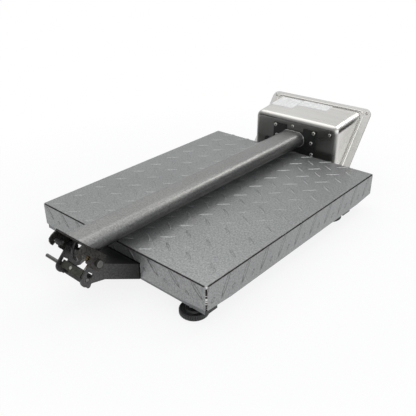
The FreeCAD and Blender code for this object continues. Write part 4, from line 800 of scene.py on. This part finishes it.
def front_details():
    display = panel_plate("display_body", [rounded(*DISPLAY_BODY, 0, DISPLAY_S)], *DISPLAY_LAYER,
                          gloss_plastic, "display")
    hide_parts("display_module")
    digits = [bar for number in range(DIGITS)
              for bar in segment_outlines(FIRST_DIGIT_X + DIGIT_PITCH * number, DISPLAY_S)]
    panel_plate("display_digits", digits, *DIGIT_LAYER, digit_plastic, "display")
    window = [rounded(*WINDOW_FILM, 0, DISPLAY_S), rounded(*WINDOW_HOLE, 0, DISPLAY_S)]
    panel_plate("window_surround", window, *FILM_LAYER, film, "dark_plastic")
    holes = [rounded(*KEY_HOLE, FIRST_KEY_X + KEY_PITCH * number, KEYS_S) for number in range(KEY_COUNT)]
    panel_plate("key_surround", [rounded(*KEY_FILM, 0, KEYS_S)] + holes, *FILM_LAYER, film, "dark_plastic")


# Round tubes along lines: the flange's bead, the weld beads, the lead's bend and the catch's spring

BEVEL_STEPS = 3
CURVE_STEPS = 16
# Two waves let a weld bead's thickness wander, and THINNING keeps it under its full radius on the whole
QUICK_WAVE = 1.9
SLOW_WAVE = 0.7
THINNING = 0.6


def tube(name, points, radius, material, closed=False, kind="POLY", swell=0.0):
    curve = bpy.data.curves.new(name, "CURVE")
    curve.dimensions = "3D"
    curve.bevel_depth = radius / 1000
    curve.bevel_resolution = BEVEL_STEPS
    curve.resolution_u = CURVE_STEPS
    spline = curve.splines.new(kind)
    spline.points.add(len(points) - 1)
    for index, (point, spot) in enumerate(zip(spline.points, points)):
        point.co = (*((ORIGIN + spot) / 1000), 1)
        wander = math.sin(index * QUICK_WAVE) * math.sin(index * SLOW_WAVE + 1) - THINNING
        point.radius = 1.0 + swell * wander
    spline.use_cyclic_u = closed
    if kind == "NURBS":
        spline.order_u = 3
        spline.use_endpoint_u = True
    curve.use_fill_caps = not closed
    data = curve_mesh(curve, material)
    for polygon in data.polygons:
        polygon.use_smooth = True
    piece = link_object(name, data)
    return piece


# Width, height, corner radius and middle of the bead on the flange, and how far out it lies
FLANGE_BEAD = (219.0, 152.0, 12.0, 0.0, -1.0)
FLANGE_BEAD_OUT = -1.4


def flange_bead():
    points = [on_panel(x, s, FLANGE_BEAD_OUT) for x, s in rounded(*FLANGE_BEAD)]
    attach(tube("flange_bead", points, 1.6, steel, closed=True), "column")


LEAD_RADIUS = 2.5
# From the column's hook down round the hinge and into the arm
LEAD_ROUTE = ((10.0, 314.95, 20.51), (10.0, 318.84, 16.62), (10.0, 323.44, 7.07), (11.0, 321.6, -4.53),
              (12.0, 314.95, -12.73), (13.66, 303.19, -15.27), (15.6, 293.45, -18.67))


# The lead bends round from the arm to the column
def lead_bend():
    route = LEAD_ROUTE
    points = [Vector(spot) for spot in route]
    piece = tube("lead_bend", points, LEAD_RADIUS, cable, kind="NURBS")
    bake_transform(piece)
    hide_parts("lead_loop")


PIVOT_Y = 310.0


# Place in the hinge's own frame, at 45 degrees: w along the hook plate's normal, t up the plate
def at_hinge(x, w, t):
    root = math.sqrt(2)
    return Vector((x, PIVOT_Y + (w + t) / root, (t - w) / root))


SPRING_RADIUS = 6.95
SPRING_WIRE_RADIUS = 0.75
SPRING_TURNS = 4.5
SPRING_FIRST_X = -19.0
SPRING_LAST_X = -11.8
STEPS_PER_TURN = 24


# The catch's spring sits round the pivot, and its long leg follows the rod. The legs' places are given one by
# one
def catch_spring():
    first = SPRING_FIRST_X
    last = SPRING_LAST_X
    points = [at_hinge(-32.5, 8.0, SPRING_RADIUS), at_hinge(-20.2, 8.0, SPRING_RADIUS),
              at_hinge(first, 6.8, SPRING_RADIUS)]
    steps = int(SPRING_TURNS * STEPS_PER_TURN)
    for step in range(steps + 1):
        turn = math.radians(90 + 360 * SPRING_TURNS * step / steps)
        points.append(at_hinge(first + (last - first) * step / steps, SPRING_RADIUS * math.cos(turn),
                               SPRING_RADIUS * math.sin(turn)))
    points += [at_hinge(last, 8.5, -5.9), at_hinge(last, 17.0, -4.9), at_hinge(last, 25.2, -3.9),
               at_hinge(last, 26.15, -2.9), at_hinge(last, 26.15, 2.25)]
    piece = tube("catch_spring", points, SPRING_WIRE_RADIUS, bronze)
    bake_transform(piece)
    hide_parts("latch_spring")


COLUMN_WELD_Y = -265.2
COLUMN_FLAT_HALF = 12.0
COLUMN_WELD_RADIUS = 16.2
WELD_TURN_STEP = 10
WELD_FLAT_STEP = 3.0
ARM_WELD_X = 60.3
ARM_WELD_Y = 248.2
ARM_WELD_RANGE = (-48, -21, 2)


# Weld bead round the flat oval column: each rounded end, then the flat after it
def column_weld():
    points = []
    for side, start in ((1, -90), (-1, 90)):
        for step in range(180 // WELD_TURN_STEP + 1):
            turn = math.radians(start + WELD_TURN_STEP * step)
            points.append(Vector((side * COLUMN_FLAT_HALF + COLUMN_WELD_RADIUS * math.cos(turn),
                                  COLUMN_WELD_Y, COLUMN_Z + COLUMN_WELD_RADIUS * math.sin(turn))))
        for step in range(1, int(2 * COLUMN_FLAT_HALF / WELD_FLAT_STEP)):
            points.append(Vector((side * (COLUMN_FLAT_HALF - WELD_FLAT_STEP * step), COLUMN_WELD_Y,
                                  COLUMN_Z + side * COLUMN_WELD_RADIUS)))
    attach(tube("column_weld", points, 1.5, weld_paint, closed=True, swell=0.4), "column")


def arm_welds():
    for side, name in ((-1, "right"), (1, "left")):
        points = [Vector((side * ARM_WELD_X, ARM_WELD_Y, z)) for z in range(*ARM_WELD_RANGE)]
        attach(tube("arm_weld_" + name, points, 1.4, weld_paint, swell=0.4), "base")


tread()
feet()
all_screws()
front_details()
flange_bead()
lead_bend()
catch_spring()
column_weld()
arm_welds()


# Floor, backdrop and light

FLOOR_SIZE = 12.0
FLOOR_Z = -0.0002
FLOOR_COLOUR = (0.96, 0.96, 0.96, 1)
# Share of plain white in the floor, at these two distances from the object's middle
FADE_BAND = (0.42, 0.75)
FADE_SHARES = (0.84, 1.0)
# Share of the white background that gloss shows
GLOSS_SHARE = 0.5
WORLD_LIGHT = 0.5
WORLD_TINT = (0.95, 0.98, 1.0, 1)
# Dark screens beside the object: name, place, size and turn about Z in degrees
DARK_SCREENS = (("screen_hinge_end", (0.75, 1.75, 0.45), (3.4, 0.95), -25),
                ("screen_side", (-1.05, -1.15, 0.45), (2.6, 0.88), -42))
# Lamps: name, place, target, size, watts and colour
LIGHTS = (("overhead", (0.7, -0.4, 1.8), (0, 0, 0.05), (1.9, 1.9), 11.0, (1.0, 0.99, 0.97)),
          ("strip", (-0.36, -1.4, 1.5), (0, 0, 0.05), (0.7, 0.4), 5.5, (1.0, 0.98, 0.95)),
          ("fill", (-2.1, 0.6, 1.1), (0, 0, 0.05), (3.3, 1.9), 25.5, (0.95, 0.98, 1.0)),
          ("end", (0.9, 2.0, 0.9), (0, 0.2, 0.05), (1.0, 0.8), 2.0, (0.93, 0.97, 1.0)))


def stage_plane(name, size, location, material):
    bm = bmesh.new()
    bmesh.ops.create_grid(bm, x_segments=1, y_segments=1, size=size / 2)
    data = bpy.data.meshes.new(name)
    bm.to_mesh(data)
    bm.free()
    data.materials.append(material)
    plane = link_object(name, data)
    plane.location = location
    return plane


# White floor that keeps a soft shadow near the object and fades to plain white further out
def floor_material():
    n = Nodes("floor_white")
    n.tree.nodes.remove(n.bsdf)
    diffuse = n.add("ShaderNodeBsdfDiffuse")
    diffuse.inputs["Color"].default_value = FLOOR_COLOUR
    plain = n.add("ShaderNodeEmission")
    spread = n.add("ShaderNodeVectorMath", operation="LENGTH")
    source = n.add("ShaderNodeTexCoord")
    n.link(source, "Object", spread, 0)
    fade = n.map_range(spread.outputs["Value"], *FADE_BAND, *FADE_SHARES)
    path = n.add("ShaderNodeLightPath")
    seen = n.maths("MAXIMUM", path.outputs["Is Camera Ray"],
                   n.maths("MAXIMUM", path.outputs["Is Glossy Ray"], path.outputs["Is Transmission Ray"]))
    mix = n.add("ShaderNodeMixShader")
    n.tree.links.new(n.maths("MULTIPLY", fade, seen), mix.inputs[0])
    n.link(diffuse, 0, mix, 1)
    n.link(plain, 0, mix, 2)
    n.link(mix, 0, n.out, "Surface")
    return n.material


# White to the camera and through glass, half white in gloss, and a plain light on everything else
def make_world():
    world = bpy.data.worlds.new("world")
    scene.world = world
    world.use_nodes = True
    tree = world.node_tree
    tree.nodes.clear()
    out = tree.nodes.new("ShaderNodeOutputWorld")
    seen = tree.nodes.new("ShaderNodeBackground")
    seen.inputs["Color"].default_value = (1, 1, 1, 1)
    light = tree.nodes.new("ShaderNodeBackground")
    light.inputs["Color"].default_value = WORLD_TINT
    light.inputs["Strength"].default_value = WORLD_LIGHT
    path = tree.nodes.new("ShaderNodeLightPath")
    mix = tree.nodes.new("ShaderNodeMixShader")
    gloss = tree.nodes.new("ShaderNodeMath")
    first = tree.nodes.new("ShaderNodeMath")
    second = tree.nodes.new("ShaderNodeMath")
    gloss.operation = "MULTIPLY"
    gloss.inputs[1].default_value = GLOSS_SHARE
    first.operation = second.operation = "MAXIMUM"
    for source, target in ((path.outputs["Is Glossy Ray"], gloss.inputs[0]),
                           (path.outputs["Is Camera Ray"], first.inputs[0]),
                           (gloss.outputs[0], first.inputs[1]),
                           (first.outputs[0], second.inputs[0]),
                           (path.outputs["Is Transmission Ray"], second.inputs[1]),
                           (second.outputs[0], mix.inputs[0]),
                           (light.outputs[0], mix.inputs[1]),
                           (seen.outputs[0], mix.inputs[2]),
                           (mix.outputs[0], out.inputs["Surface"])):
        tree.links.new(source, target)


# The screens show only in the gloss of metal and paint
def dark_screens():
    n = Nodes("screen_black")
    n.use((0.01, 0.01, 0.01), "Base Color")
    n.use(1.0, "Roughness")
    for name, location, size, degrees in DARK_SCREENS:
        screen = stage_plane(name, 1.0, location, n.material)
        screen.scale = (*size, 1)
        screen.rotation_euler = (math.radians(90), 0, math.radians(degrees))
        screen.visible_camera = False
        screen.visible_diffuse = False
        screen.visible_shadow = False
        screen.visible_transmission = False


def area_light(name, location, target, size, energy, colour):
    data = bpy.data.lights.new(name, "AREA")
    data.shape = "RECTANGLE"
    data.size, data.size_y = size
    data.energy = energy
    data.color = colour
    light = link_object(name, data)
    light.location = location
    light.rotation_mode = "QUATERNION"
    light.rotation_quaternion = (Vector(target) - Vector(location)).to_track_quat("-Z", "Y")


stage_plane("floor", FLOOR_SIZE, (0, 0, FLOOR_Z), floor_material())
make_world()
dark_screens()
for lamp in LIGHTS:
    area_light(*lamp)

scene.view_settings.view_transform = "Standard"
